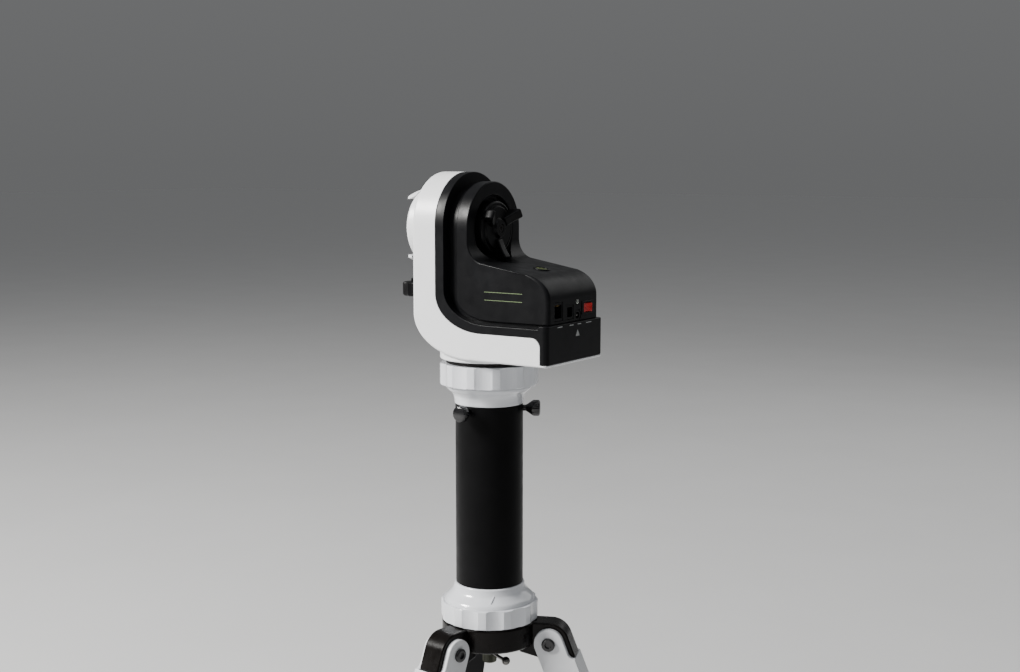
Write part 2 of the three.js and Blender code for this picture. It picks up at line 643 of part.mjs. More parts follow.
function batteryDoor() {
  return cut(
    roundedBox(BATTERY.x0 + GAP, BATTERY.x1 - GAP, GAP - BATTERY.half, BATTERY.half - GAP, 0.2, WALL, 0.8),
    box(BATTERY.x1 - 7, BATTERY.x1 - 4, -9, 9, -1, 1.4),
  );
}

// ---------------------------------------------------------------- altitude axis and saddle

const saddleAxis = (outline, half) => prismY(outline, -half, half);

function jawOutline(points) {
  return new THREE.Shape(points.map(([x, z]) => new THREE.Vector2(x, z)));
}

const CLAMP_SCREW = { x: -73.5, y: -19 };

// A round plate with a raised seat between two hooked jaws; the bar lies along Y.
function saddlePlate() {
  const disc = turnedX([[0, SADDLE_FACE], [SADDLE_RADIUS - 2.5, SADDLE_FACE],
    [SADDLE_RADIUS - 0.8, SADDLE_FACE + 0.8], [SADDLE_RADIUS, SADDLE_FACE + 2.5],
    [SADDLE_RADIUS, -56.5], [SADDLE_RADIUS - 1.5, -55], [0, -55]]);
  const upperJaw = jawOutline([[SADDLE_FACE + 1, 36.9], [SADDLE_FACE + 1, 30.2], [JAW_TIP, 26.8],
    [JAW_TIP, 28.6], [JAW_TIP + 5, 33.6]]);
  const lowerJaw = jawOutline([[SADDLE_FACE + 1, -36.9], [JAW_TIP + 5, -35], [JAW_TIP, -30],
    [JAW_TIP, -27], [SADDLE_FACE + 1, -30.2]]);
  const seat = box(SEAT_FACE, SADDLE_FACE + 1, -JAW_HALF, JAW_HALF, -17, 25);
  const jaws = join(saddleAxis(upperJaw, JAW_HALF), saddleAxis(lowerJaw, JAW_HALF));
  const trimmed = common(jaws, discX(SADDLE_RADIUS, JAW_TIP - 10, SADDLE_FACE + 10));
  const bore = 3.1;
  return onAxis(cut(
    join(disc, trimmed, seat),
    discZ(bore, -60, -20, COARSE).translate(CLAMP_SCREW.x, CLAMP_SCREW.y, 0),
    box(CLAMP_SCREW.x - bore, CLAMP_SCREW.x + bore, -30, CLAMP_SCREW.y, -60, -20),
  ));
}

const onAxis = (body) => geometryOf(body).translate(0, 0, ALTITUDE_Z);

function clampPlate() {
  const [base, tip] = [SADDLE_FACE - 0.4, JAW_TIP + 3];
  const s = jawOutline([[base, -22.6], [tip, -19.5], [tip, -23], [base, -26.2]]);
  return onAxis(saddleAxis(s, JAW_HALF - 4));
}

function clampKnob() {
  const grip = prismZ(polarOutline((angle) => 13.3 - Math.abs(sin(6 * angle)), 72), -67.5, -53.5);
  const screw = discZ(2.6, -54, -26.5, COARSE);
  return onAxis(join(grip, screw, discZ(5, -54, -50.5, COARSE)))
    .translate(CLAMP_SCREW.x, CLAMP_SCREW.y, 0);
}

function altitudeShaft() {
  return onAxis(turnedX(ringProfile(5, SHAFT_RADIUS, ARM_LEFT - 0.7, 1.4), MEDIUM));
}

// A round knob with three finger wings, sunk in the pocket of the cover.
function clutchKnob() {
  const body = turnedX([[0, -1.4], [24.5, -1.4], [26, 0], [26, 9], [24, 11.5], [9, 11.5], [8, 14.5],
    [0, 14.5]]);
  const wing = new THREE.Shape();
  wing.moveTo(10, 9);
  wing.lineTo(27, 9);
  wing.quadraticCurveTo(30.5, 14, 29.5, 20);
  wing.quadraticCurveTo(29, 22, 26, 22);
  wing.quadraticCurveTo(20, 17, 10, 13.5);
  const wings = [30, 150, 270].map((angle) => {
    const standing = prismZ(wing, -4.5, 4.5, { curveSegments: 6 });      // x is radial, y is along the axis
    return standing.applyMatrix4(new THREE.Matrix4().makeBasis(
      new THREE.Vector3(0, 1, 0), new THREE.Vector3(1, 0, 0), new THREE.Vector3(0, 0, -1)))
      .rotateX(rad(angle));
  });
  return onAxis(cut(join(body, ...wings), discX(SHAFT_RADIUS + GAP, -5, 2, MEDIUM)));
}

// ---------------------------------------------------------------- assembly

const pivotHeight = LEG_LENGTH * cos(rad(LEG_SPLAY));
const headHeight = pivotHeight + PIVOT_DROP;
const footprint = PIVOT_RADIUS + LEG_LENGTH * sin(rad(LEG_SPLAY));
const feetX = LEG_AZIMUTHS.map((azimuth) => footprint * cos(rad(azimuth)));
const feetY = LEG_AZIMUTHS.map((azimuth) => footprint * sin(rad(azimuth)));
const middle = (values) => (Math.min(...values) + Math.max(...values)) / 2;

const mount = new THREE.Group();
const head = new THREE.Group();        // the azimuth axis, z = 0 at the underside of the head
head.position.set(-middle(feetX), -middle(feetY), headHeight);
mount.add(head);

place(head, 'tripod_hub', tripodHub(), HUB_BLACK);
place(head, 'centre_bolt', centreBolt(), OLIVE);
place(head, 'centre_bolt_tommy_bar', tommyBar(), STEEL);

LEG_AZIMUTHS.forEach((azimuth, i) => {
  const number = i + 1;
  const spoke = new THREE.Group();
  spoke.rotation.z = rad(azimuth);
  const pivot = new THREE.Group();
  pivot.position.set(PIVOT_RADIUS, 0, -PIVOT_DROP);
  pivot.rotation.y = -rad(LEG_SPLAY);
  spoke.add(pivot);
  head.add(spoke);
  place(pivot, `leg_pivot_bolt_${number}`, pivotBolt(), KNOB_BLACK);
  place(pivot, `upper_leg_${number}`, upperLeg(), PAINT);
  place(pivot, `leg_clamp_collar_${number}`, clampCollar(), BLACK);
  place(pivot, `leg_clamp_lever_${number}`, clampLever(), KNOB_BLACK);
  place(pivot, `lower_leg_${number}`, lowerLeg(), STEEL);
  place(pivot, `rubber_foot_${number}`, rubberFoot(), RUBBER);
});

place(head, 'pier_base', pierBase(), GLOSS_WHITE);
place(head, 'pier_tube', pierTube(), TUBE_BLACK);
place(head, 'pier_top_cap', pierCap(), GLOSS_WHITE);
SCREW_AZIMUTHS.forEach((azimuth, i) => {
  const spoke = new THREE.Group();
  spoke.rotation.z = rad(azimuth);
  head.add(spoke);
  place(spoke, `pier_thumb_screw_${i + 1}`, thumbScrew(), KNOB_BLACK);
});

place(head, 'azimuth_clutch_ring', clutchRing(), GLOSS_WHITE);
place(head, 'azimuth_spindle', azimuthSpindle(), STEEL);
place(head, 'azimuth_worm_wheel', prismZ(toothedWheel(AZ_WHEEL_RADIUS, SPINDLE_RADIUS + GAP), 15, 24), BRASS);
place(head, 'azimuth_encoder_disc',
  turnedZ(ringProfile(SPINDLE_RADIUS + GAP, 30, 26.2, 27.4), MEDIUM), LENS);
place(head, 'azimuth_bearing',
  turnedZ(ringProfile(SPINDLE_RADIUS + GAP, FLANGE_BORE - GAP, 0, 9), MEDIUM), STEEL);
place(head, 'azimuth_base_flange', baseFlange(), PAINT);
place(head, 'azimuth_worm', worm(30).translate(0, AZ_WORM_Y, AZ_DRIVE_Z), STEEL);
place(head, 'azimuth_motor', geometryOf(motor(18, 48)).translate(0, AZ_WORM_Y, AZ_DRIVE_Z), STEEL);

place(head, 'head_frame', whiteFrame(), PAINT);
place(head, 'head_cover', blackCover(), BLACK);
place(head, 'control_board', controlBoard(), BOARD_GREEN);
place(head, 'battery_holder', batteryHolder(), BLACK);
place(head, 'battery_door', batteryDoor(), PAINT);
place(head, 'hand_control_port', socket(HAND_PORT, 6, 6.2), BLACK);
place(head, 'shutter_port', socket(SNAP_PORT, 4.4, 4.6), BLACK);
place(head, 'power_jack', powerJack(), BLACK);
place(head, 'status_lamp', statusLamp(), LENS);
place(head, 'power_switch_bezel', switchBezel(), KNOB_BLACK);
place(head, 'bubble_level', bubbleLevel(), LENS);

const rockerPivot = new THREE.Group();
rockerPivot.position.set(ROCKER_X, BEZEL.y, BEZEL.z);
rockerPivot.rotation.z = rad(ROCKER_REST);
head.add(rockerPivot);
place(rockerPivot, 'power_rocker', rocker(), RED);

place(head, 'altitude_shaft', altitudeShaft(), STEEL);
place(head, 'altitude_bearing_saddle_side', onAltitudeAxis(
  turnedX(ringProfile(SHAFT_RADIUS + GAP, BEARING_RADIUS, -50.7, -44.3), MEDIUM)), STEEL);
place(head, 'altitude_bearing_clutch_side', onAltitudeAxis(
  turnedX(ringProfile(SHAFT_RADIUS + GAP, BEARING_RADIUS, -11.7, -5.3), MEDIUM)), STEEL);
place(head, 'altitude_worm_wheel', onAltitudeAxis(
  prismX(toothedWheel(ALT_WHEEL_RADIUS, SHAFT_RADIUS + GAP), ALT_DRIVE_X - 4, ALT_DRIVE_X + 4)), BRASS);
place(head, 'altitude_encoder_disc', onAltitudeAxis(
  turnedX(ringProfile(SHAFT_RADIUS + GAP, 25, -33, -31.8), MEDIUM)), LENS);
place(head, 'altitude_worm', worm(22).rotateZ(PI / 2).translate(ALT_DRIVE_X, 0, ALT_WORM_Z), STEEL);
place(head, 'altitude_motor',
  geometryOf(motor(14, 38)).rotateZ(PI / 2).translate(ALT_DRIVE_X, 0, ALT_WORM_Z), STEEL);
place(head, 'saddle_plate', saddlePlate(), PAINT);
place(head, 'saddle_clamp_plate', clampPlate(), STEEL);
place(head, 'saddle_clamp_knob', clampKnob(), KNOB_BLACK);
place(head, 'altitude_clutch_knob', clutchKnob(), KNOB_BLACK);

export default mount;
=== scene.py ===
"""The looks of a motorised single-arm mount on its extension pier and tripod.

Shapes are drawn in millimetres in the CAD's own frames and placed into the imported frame, in metres:
the head frame has the azimuth axis as its Z axis and z = 0 at the underside of the head, and each
leg frame has its origin at the leg's pivot with -z down the leg.
"""

from math import atan2, cos, pi, radians, sin

import bmesh
import bpy
from mathutils import Matrix, Vector


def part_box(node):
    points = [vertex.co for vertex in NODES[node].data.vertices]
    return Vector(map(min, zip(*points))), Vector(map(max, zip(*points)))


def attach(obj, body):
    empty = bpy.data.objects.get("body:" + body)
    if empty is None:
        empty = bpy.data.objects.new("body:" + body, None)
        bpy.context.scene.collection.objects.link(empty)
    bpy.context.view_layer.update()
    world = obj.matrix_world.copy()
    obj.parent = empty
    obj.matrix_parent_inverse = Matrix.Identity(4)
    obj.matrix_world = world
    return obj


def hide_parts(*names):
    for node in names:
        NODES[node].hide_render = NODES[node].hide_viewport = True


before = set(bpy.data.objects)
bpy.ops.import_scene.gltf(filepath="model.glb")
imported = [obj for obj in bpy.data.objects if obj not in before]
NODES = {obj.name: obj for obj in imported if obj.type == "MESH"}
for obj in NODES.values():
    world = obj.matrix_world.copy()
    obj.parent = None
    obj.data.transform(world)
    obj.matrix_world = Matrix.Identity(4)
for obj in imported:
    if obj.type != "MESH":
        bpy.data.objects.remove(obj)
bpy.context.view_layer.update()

# ------------------------------------------------------------------ driving dimensions, in millimetres

MM = 0.001
HALF_DEPTH = 51                 # of the head, along Y
WALL = 3
ARM_LEFT = -54
ARM_RIGHT = 6
BAND_RIGHT = -27                # where the white band ends on the arm
BAND_TOP = 26.6                 # ... and on the foot
FOOT_END = 90
FOOT_CORNER = 9
COVER_END = 95.5
LIP_END = 97.3                  # of the band below the cover's end face
ARCH_Z = 125
COVER_HALF = 44.5
COVER_ARCH_Z = 122.5
GROOVE_HALF = 42
ALTITUDE_Z = 122.5
POCKET_RADIUS = 31.5
HIGH = 200                      # above everything, for cutting
HEEL = (12, 42)
CROTCH = (24, 62)
RIM_EDGE, RIM_Z = -17, 34.8
RAISED_EDGE, RAISED_Z = -7, 38
SEAM = 0.3
HULL_ROUND = 5.2
SHELL_ROUND = 0.4               # below 2 - 0.3 * HULL_ROUND, or two roundings overlap at the foot's end
SHAFT_BORE = 12.6
OPENING = (85, 100)             # along X, from inside the cover to past its end face

LEG_AZIMUTHS = (22.5, 142.5, 262.5)
LEG_SPLAY = 21
PIVOT_RADIUS = 62
PIVOT_DROP = 282
SCREW_AZIMUTHS = (28.5, 148.5, 268.5)
SCREW_DROP = -52
HUB_TOP, HUB_BOTTOM = -262, -286
LUG_HALF = 11.7
EAR_HALF = 17
PIVOT_HOLE = 4.3
LOBES = 12                      # round each clamping ring
RING_RADIUS = 48
RING_TURN = 17                  # of the upper ring's lobes, in degrees
HOLLOW_RADIUS, HOLLOW_DEPTH = 30, 2.1


# ------------------------------------------------------------------ frames

def head_frame():
    """The azimuth axis and the underside of the head, from the flange that the head turns on."""
    low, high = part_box("azimuth_base_flange")
    middle = (low + high) / 2
    return Matrix.Translation((middle.x, middle.y, low.z + 2.9 * MM)) @ Matrix.Scale(MM, 4)


HEAD = head_frame()


def turned_frame(azimuth):
    return HEAD @ Matrix.Rotation(radians(azimuth), 4, "Z")


def leg_frame(azimuth):
    """x points away from the pier, and -z down the splayed leg."""
    pivot = Matrix.Translation((PIVOT_RADIUS, 0, -PIVOT_DROP))
    return turned_frame(azimuth) @ pivot @ Matrix.Rotation(radians(-LEG_SPLAY), 4, "Y")


# ------------------------------------------------------------------ outlines

def arc(x, y, radius, start, stop, other=None, steps=24):
    """Points of a circle, or of an ellipse with its other radius, from start to stop in degrees."""
    other = radius if other is None else other
    angles = [radians(start + (stop - start) * i / steps) for i in range(steps + 1)]
    return [(x + radius * cos(a), y + other * sin(a)) for a in angles]


def bezier(a, b, c, d, steps=18):
    points = []
    for i in range(steps + 1):
        t = i / steps
        weights = ((1 - t) ** 3, 3 * t * (1 - t) ** 2, 3 * t * t * (1 - t), t ** 3)
        points.append(tuple(sum(w * p[k] for w, p in zip(weights, (a, b, c, d))) for k in (0, 1)))
    return points


def rounded(points, radius, closed=False, steps=4):
    """The same outline with its corners rounded, as far as the sides beside them allow."""
    result = []
    for i, point in enumerate(points):
        if not closed and i in (0, len(points) - 1):
            result.append(tuple(point))
            continue
        corner = Vector(point[:2])
        before = Vector(points[i - 1][:2]) - corner
        after = Vector(points[(i + 1) % len(points)][:2]) - corner
        reach = min(radius, before.length * 0.48, after.length * 0.48)
        if reach < 0.02 or before.angle(after) > radians(172):
            result.append(tuple(corner))
            continue
        start = corner + before.normalized() * reach
        stop = corner + after.normalized() * reach
        for k in range(steps + 1):
            t = k / steps
            result.append(tuple(start * (1 - t) ** 2 + corner * 2 * t * (1 - t) + stop * t * t))
    return result


def rectangle(x0, x1, y0, y1, radius=0.0):
    corners = [(x0, y0), (x1, y0), (x1, y1), (x0, y1)]
    return rounded(corners, radius, closed=True, steps=6) if radius else corners


# ------------------------------------------------------------------ solids

def as_object(bm, name="solid"):
    bmesh.ops.recalc_face_normals(bm, faces=bm.faces)
    mesh = bpy.data.meshes.new(name)
    bm.to_mesh(mesh)
    bm.free()
    obj = bpy.data.objects.new(name, mesh)
    bpy.context.scene.collection.objects.link(obj)
    return obj


AXES = {
    "X": lambda u, v, w: (w, u, v),      # outlines in (Y, Z)
    "Y": lambda u, v, w: (u, w, v),      # outlines in (X, Z)
    "Z": lambda u, v, w: (u, v, w),      # outlines in (X, Y)
}


def prism(outline, low, high, axis):
    """A flat outline pushed along an axis."""
    bm = bmesh.new()
    rings = [[bm.verts.new(AXES[axis](u, v, w)) for u, v in outline] for w in (low, high)]
    for ring in rings:
        bm.faces.new(ring)
    for i in range(len(outline)):
        j = (i + 1) % len(outline)
        bm.faces.new((rings[0][i], rings[0][j], rings[1][j], rings[1][i]))
    return as_object(bm)


def turned(profile, axis="Z", steps=96, wave=None, at=(0, 0, 0)):
    """Points of (radius, height, share) turned about an axis. wave(angle) is taken off the radius,
    times the point's share. The profile starts and ends on the axis, or closes on itself."""
    closed = profile[0] == profile[-1] and profile[0][0] > 0
    points = profile[:-1] if closed else profile
    spin = {"X": lambda a, b, h: (h, a, b), "Y": lambda a, b, h: (b, h, a), "Z": lambda a, b, h: (a, b, h)}
    bm = bmesh.new()
    rings = []
    for point in points:
        radius, height = point[0], point[1]
        share = point[2] if len(point) > 2 else 0
        if radius < 1e-6:
            rings.append([bm.verts.new(Vector(spin[axis](0, 0, height)) + Vector(at))])
            continue
        ring = []
        for i in range(steps):
            angle = 2 * pi * i / steps
            r = radius - (wave(angle) * share if wave and share else 0)
            ring.append(bm.verts.new(Vector(spin[axis](r * cos(angle), r * sin(angle), height)) + Vector(at)))
        rings.append(ring)
    pairs = list(zip(rings, rings[1:])) + ([(rings[-1], rings[0])] if closed else [])
    for a, b in pairs:
        for i in range(steps):
            j = (i + 1) % steps
            quad = [a[i % len(a)], a[j % len(a)], b[j % len(b)], b[i % len(b)]]
            corners = list(dict.fromkeys(quad))
            if len(corners) > 2:
                bm.faces.new(corners)
    return as_object(bm)


def lathe(profile, radius=0.6, axis="Z", steps=96, at=(0, 0, 0), round_steps=4):
    """A turned piece with its corners rounded."""
    closed = profile[0] == profile[-1] and profile[0][0] > 0
    if closed:
        soft = rounded(profile[:-1], radius, closed=True, steps=round_steps)
        soft.append(soft[0])
    else:
        soft = rounded(profile, radius, steps=round_steps)
    return turned(soft, axis, steps, at=at)


def sleeve(inner, outer, low, high):
    return [(inner, low), (outer, low), (outer, high), (inner, high), (inner, low)]


def bake(obj):
    """Put the modifiers' result into the mesh."""
    depsgraph = bpy.context.evaluated_depsgraph_get()
    mesh = bpy.data.meshes.new_from_object(obj.evaluated_get(depsgraph))
    obj.modifiers.clear()
    obj.data = mesh
    return obj


def boolean(body, operation, tools):
    for tool in tools:
        modifier = body.modifiers.new("boolean", "BOOLEAN")
        modifier.operation = operation
        modifier.solver = "EXACT"
        modifier.object = tool
        bake(body)
        bpy.data.objects.remove(tool)
    return body


def cut(body, *tools):
    return boolean(body, "DIFFERENCE", tools)


def join(body, *tools):
    return boolean(body, "UNION", tools)


def common(body, *tools):
    return boolean(body, "INTERSECT", tools)


def merged(obj, distance=0.02):
    """Close the hairline gaps that a boolean leaves."""
    bm = bmesh.new()
    bm.from_mesh(obj.data)
    bmesh.ops.remove_doubles(bm, verts=bm.verts, dist=distance)
    bmesh.ops.dissolve_degenerate(bm, edges=bm.edges, dist=0.001)
    bm.to_mesh(obj.data)
    bm.free()
    return obj


def clone(body):
    copy = body.copy()
    copy.data = body.data.copy()
    bpy.context.scene.collection.objects.link(copy)
    return copy


def soften(obj, width, limit=35, segments=3, share=None):
    """Round the edges sharper than limit. share(middle of the edge) scales the width."""
    bm = bmesh.new()
    bm.from_mesh(obj.data)
    weights = bm.edges.layers.float.new("bevel_weight_edge")
    for edge in bm.edges:
        if edge.is_manifold and edge.calc_face_angle() > radians(limit):
            middle = (edge.verts[0].co + edge.verts[1].co) / 2
            edge[weights] = 1 if share is None else share(middle)
    bm.to_mesh(obj.data)
    bm.free()
    bevel = obj.modifiers.new("bevel", "BEVEL")
    bevel.width = width
    bevel.segments = segments
    bevel.limit_method = "WEIGHT"
    bevel.use_clamp_overlap = False
    bake(obj)
    if "bevel_weight_edge" in obj.data.attributes:
        obj.data.attributes.remove(obj.data.attributes["bevel_weight_edge"])
    return obj


def moved(obj, matrix):
    obj.data.transform(matrix)
    return obj


def together(*objects):
    """Several solids in one mesh."""
    bm = bmesh.new()
    for obj in objects:
        bm.from_mesh(obj.data)
        bpy.data.objects.remove(obj)
    mesh = bpy.data.meshes.new("solids")
    bm.to_mesh(mesh)
    bm.free()
    obj = bpy.data.objects.new("solids", mesh)
    bpy.context.scene.collection.objects.link(obj)
    return obj


# ------------------------------------------------------------------ materials

class Surface:
    """A Principled material whose detail comes from nodes in the piece's own coordinates."""

    def __init__(self, name, color, roughness, metallic=0.0, **sockets):
        self.material = bpy.data.materials.new(name)
        self.material.use_nodes = True
        self.nodes = self.material.node_tree.nodes
        self.links = self.material.node_tree.links
        self.shader = self.nodes["Principled BSDF"]
        self.shader.inputs["Base Color"].default_value = (*color, 1)
        self.shader.inputs["Roughness"].default_value = roughness
        self.shader.inputs["Metallic"].default_value = metallic
        for socket, value in sockets.items():
            self.shader.inputs[socket.replace("_", " ")].default_value = value
        self.color, self.roughness = color, roughness
        self.material.diffuse_color = (*color, 1)
        self.coordinates = self.nodes.new("ShaderNodeTexCoord").outputs["Object"]
        self.height = None

    def noise(self, scale, detail=3.0, stretch=(1, 1, 1), roughness=0.55):
        mapping = self.nodes.new("ShaderNodeMapping")
        mapping.inputs["Scale"].default_value = stretch
        texture = self.nodes.new("ShaderNodeTexNoise")
        texture.inputs["Scale"].default_value = scale
        texture.inputs["Detail"].default_value = detail
        texture.inputs["Roughness"].default_value = roughness
        self.links.new(self.coordinates, mapping.inputs["Vector"])
        self.links.new(mapping.outputs["Vector"], texture.inputs["Vector"])
        return texture.outputs["Fac"]

    def cells(self, scale):
        texture = self.nodes.new("ShaderNodeTexVoronoi")
        texture.inputs["Scale"].default_value = scale
        self.links.new(self.coordinates, texture.inputs["Vector"])
        return texture.outputs["Distance"]

    def spread(self, value, low, high, out_low, out_high):
        node = self.nodes.new("ShaderNodeMapRange")
        for socket, number in (("From Min", low), ("From Max", high),
                               ("To Min", out_low), ("To Max", out_high)):
            node.inputs[socket].default_value = number
        self.links.new(value, node.inputs["Value"])
        return node.outputs["Result"]

    def shade(self, value, other, low=0.35, high=0.65):
        """The base colour moves towards another colour where the value is high."""
        ramp = self.nodes.new("ShaderNodeValToRGB")
        ramp.color_ramp.elements[0].position = low
        ramp.color_ramp.elements[0].color = (*self.color, 1)
        ramp.color_ramp.elements[1].position = high
        ramp.color_ramp.elements[1].color = (*other, 1)
        self.links.new(value, ramp.inputs["Fac"])
        self.links.new(ramp.outputs["Color"], self.shader.inputs["Base Color"])
        return self

    def vary_roughness(self, value, amount, low=0.3, high=0.7):
        result = self.spread(value, low, high, self.roughness - amount, self.roughness + amount)
        self.links.new(result, self.shader.inputs["Roughness"])
        return self

    def bump(self, value, distance, strength=1.0):
        """distance is the height of the relief, in metres."""
        node = self.nodes.new("ShaderNodeBump")
        node.inputs["Distance"].default_value = distance
        node.inputs["Strength"].default_value = strength
        self.links.new(value, node.inputs["Height"])
        if self.height is not None:
            self.links.new(self.height, node.inputs["Normal"])
        self.height = node.outputs["Normal"]
        self.links.new(self.height, self.shader.inputs["Normal"])
        return self


def tint(color, factor):
    return tuple(min(1.0, channel * factor) for channel in color)


def paint(name, color, roughness, peel, coat=0.0):
    """Sprayed paint: a faint orange peel and a little unevenness in tone and gloss."""
    surface = Surface(name, color, roughness, Coat_Weight=coat, Coat_Roughness=0.08)
    surface.shade(surface.noise(14, 4), tint(color, 0.955))
    surface.vary_roughness(surface.noise(60, 5), 0.05)
    surface.bump(surface.noise(900, 2), peel)
    return surface.material


def moulded(name, color, roughness, grain, specular=0.5, cell=2600):
    """Moulded plastic with a fine eroded texture."""
    surface = Surface(name, color, roughness, Specular_IOR_Level=specular)
    surface.shade(surface.noise(35, 5), tint(color, 1.5))
    surface.vary_roughness(surface.noise(90, 4), 0.06)
    surface.bump(surface.cells(cell), grain)
    surface.bump(surface.noise(4200, 2), grain * 0.6)
    return surface.material


def metal(name, color, roughness, stretch=(1, 1, 12), scale=260, mark=2.0e-6):
    """Machined or drawn metal, with fine marks along one direction."""
    surface = Surface(name, color, roughness, 1.0)
    marks = surface.noise(scale, 6, stretch)
    surface.shade(surface.noise(24, 3), tint(color, 0.86))
    surface.vary_roughness(marks, 0.08)
    surface.bump(marks, mark)
    return surface.material


def rubber(name, color):
    surface = Surface(name, color, 0.82, Specular_IOR_Level=0.3)
    surface.shade(surface.noise(55, 5), tint(color, 1.9))
    surface.vary_roughness(surface.noise(120, 4), 0.08)
    surface.bump(surface.noise(1500, 5), 6.0e-5)
    return surface.material


def clear(name, color, transmission=0.85):
    surface = Surface(name, color, 0.08, Transmission_Weight=transmission, IOR=1.46)
    surface.shade(surface.noise(40, 3), tint(color, 0.92))
    surface.vary_roughness(surface.noise(200, 3), 0.03)
    surface.bump(surface.noise(500, 2), 1.0e-6)
    return surface.material


def board(name, color):
    """Solder mask over copper tracks."""
    surface = Surface(name, color, 0.42, Specular_IOR_Level=0.5)
    tracks = surface.nodes.new("ShaderNodeTexBrick")
    tracks.inputs["Scale"].default_value = 260
    tracks.inputs["Mortar Size"].default_value = 0.03
    surface.links.new(surface.coordinates, tracks.inputs["Vector"])
    surface.shade(tracks.outputs["Fac"], tint(color, 1.7), 0.4, 0.6)
    surface.vary_roughness(surface.noise(150, 4), 0.06)
    surface.bump(tracks.outputs["Fac"], 3.0e-5)
    return surface.material


MATERIALS = {
    "white_paint": paint("satin_white_paint", (0.74, 0.75, 0.76), 0.33, 2.2e-5),
    "leg_white": paint("leg_powder_coat", (0.58, 0.59, 0.605), 0.36, 4.0e-5),
    "gloss_white": paint("glossy_white_paint", (0.62, 0.635, 0.665), 0.2, 0.6e-5, coat=0.8),
    "black_plastic": moulded("black_moulded_plastic", (0.0028, 0.0029, 0.0034), 0.37, 1.6e-5, 0.13),
    # Near-black knob plastic, darkened further as painted shade for the altitude knob deep in its pocket; the
    # other knobs share this black.
    "black_knob": moulded("black_knob_plastic_painted_shade", (0.0026, 0.0026, 0.0029), 0.4, 1.1e-5, 0.14),
    # The tube's black is darker than real black paint: painted shade for the tube, which stands in the shadow
    # under the head.
    "black_tube": moulded("black_tube_painted_shade", (0.002, 0.002, 0.0022), 0.36, 2.0e-5, 0.07, 1800),
    "black_casting": moulded("black_lacquered_casting", (0.0024, 0.0018, 0.0016), 0.26, 1.2e-5, 0.13, 1500),
    "leg_aluminium": metal("drawn_aluminium", (0.62, 0.63, 0.64), 0.34, (14, 14, 1)),
    "rubber": rubber("black_rubber", (0.016, 0.016, 0.017)),
    "steel": metal("polished_steel", (0.6, 0.6, 0.61), 0.22),
    "olive_metal": metal("olive_oxide_metal", (0.085, 0.088, 0.07), 0.46, (1, 1, 3)),
    "brass": metal("machined_brass", (0.55, 0.39, 0.14), 0.3),
    "circuit_board": board("green_circuit_board", (0.012, 0.09, 0.035)),
    "red_plastic": moulded("red_rocker_plastic", (0.36, 0.008, 0.007), 0.26, 4.0e-6),
    "clear_plastic": clear("clear_moulded_plastic", (0.86, 0.9, 0.84)),
}
GLOSS_BLACK = moulded("glossy_black_plastic", (0.004, 0.004, 0.0045), 0.2, 4.0e-6)
PRINT_WHITE = paint("white_print", (0.3, 0.31, 0.31), 0.5, 0.5e-5)
PRINT_GREEN = paint("olive_print", (0.1, 0.14, 0.06), 0.5, 0.5e-5)
DARK_OXIDE = metal("dark_oxide_steel", (0.03, 0.028, 0.028), 0.38)
# Chrome dimmed far below real chrome: painted shade for the pin deep in the power jack, and a painted darker
# reflection on the tommy bar, whose ball would otherwise mirror the pale floor.
DIMMED_CHROME = metal("chrome_painted_shade", (0.16, 0.155, 0.15), 0.16)
# Gold contacts dimmed far below real gold: painted shade for the contacts deep inside the hand control
# socket.
SHADED_GOLD = metal("gilt_contacts_painted_shade", (0.36, 0.25, 0.1), 0.45)
LEVEL_FLUID = clear("level_fluid", (0.1, 0.13, 0.03), 0.4)


# ------------------------------------------------------------------ finishing a piece

SMOOTH_ANGLE = radians(38)


def piece(name, obj, slot, body, replaced=(), place=HEAD, material=None):
    """Name a solid, put it in the frame, give it its finish and let it ride on its body."""
    obj.name = obj.data.name = name
    obj.data.transform(place)
    obj.data.materials.clear()
    obj.data.materials.append(material or MATERIALS[slot])
    for polygon in obj.data.polygons:
        polygon.material_index = 0
    obj.data.shade_smooth()
    obj.data.set_sharp_from_angle(angle=SMOOTH_ANGLE)
    normals = obj.modifiers.new("normals", "WEIGHTED_NORMAL")
    normals.keep_sharp = True
    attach(obj, body)
    if replaced:
        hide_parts(*([replaced] if isinstance(replaced, str) else replaced))
    return obj


# ------------------------------------------------------------------ shell of the head

def arch(half, centre, low, high):
    """A doorway shape in (Y, Z), which rounds the top of the arm."""
    outline = [(-half, -10), (-half, centre)] + arc(0, centre, half, 180, 0, steps=64)[1:] + [(half, -10)]
    return prism(outline, low, high, "X")


def hull():
    """The whole outside of the arm and foot where white and black lie flush."""
    outline = [(LIP_END, 0)]
    outline += arc(*HEEL, HEEL[0] - ARM_LEFT, -90, -180, HEEL[1], steps=48)
    outline += [(ARM_LEFT, HIGH), (LIP_END, HIGH)]
    body = common(prism(outline, -60, 60, "Y"), arch(HALF_DEPTH, ARCH_Z, -100, 150))

    def share(middle):
        if middle.x > FOOT_END:
            return 1.0 if middle.z > 1 else 0.2
        return 0.3 if middle.z < 1 and middle.x > HEEL[0] else 0.6
    return soften(body, HULL_ROUND, segments=6, share=share)


def crotch(inset):
    """The edge between white and black: down the arm, round the crotch and to the foot's corner."""
    points = [(BAND_RIGHT + inset, HIGH + 20)]
    points += arc(*CROTCH, CROTCH[0] - BAND_RIGHT - inset, 180, 270, CROTCH[1] - BAND_TOP - inset, steps=40)
    points += arc(FOOT_END - FOOT_CORNER, BAND_TOP - FOOT_CORNER, FOOT_CORNER + inset, 90, 0, steps=16)
    return points


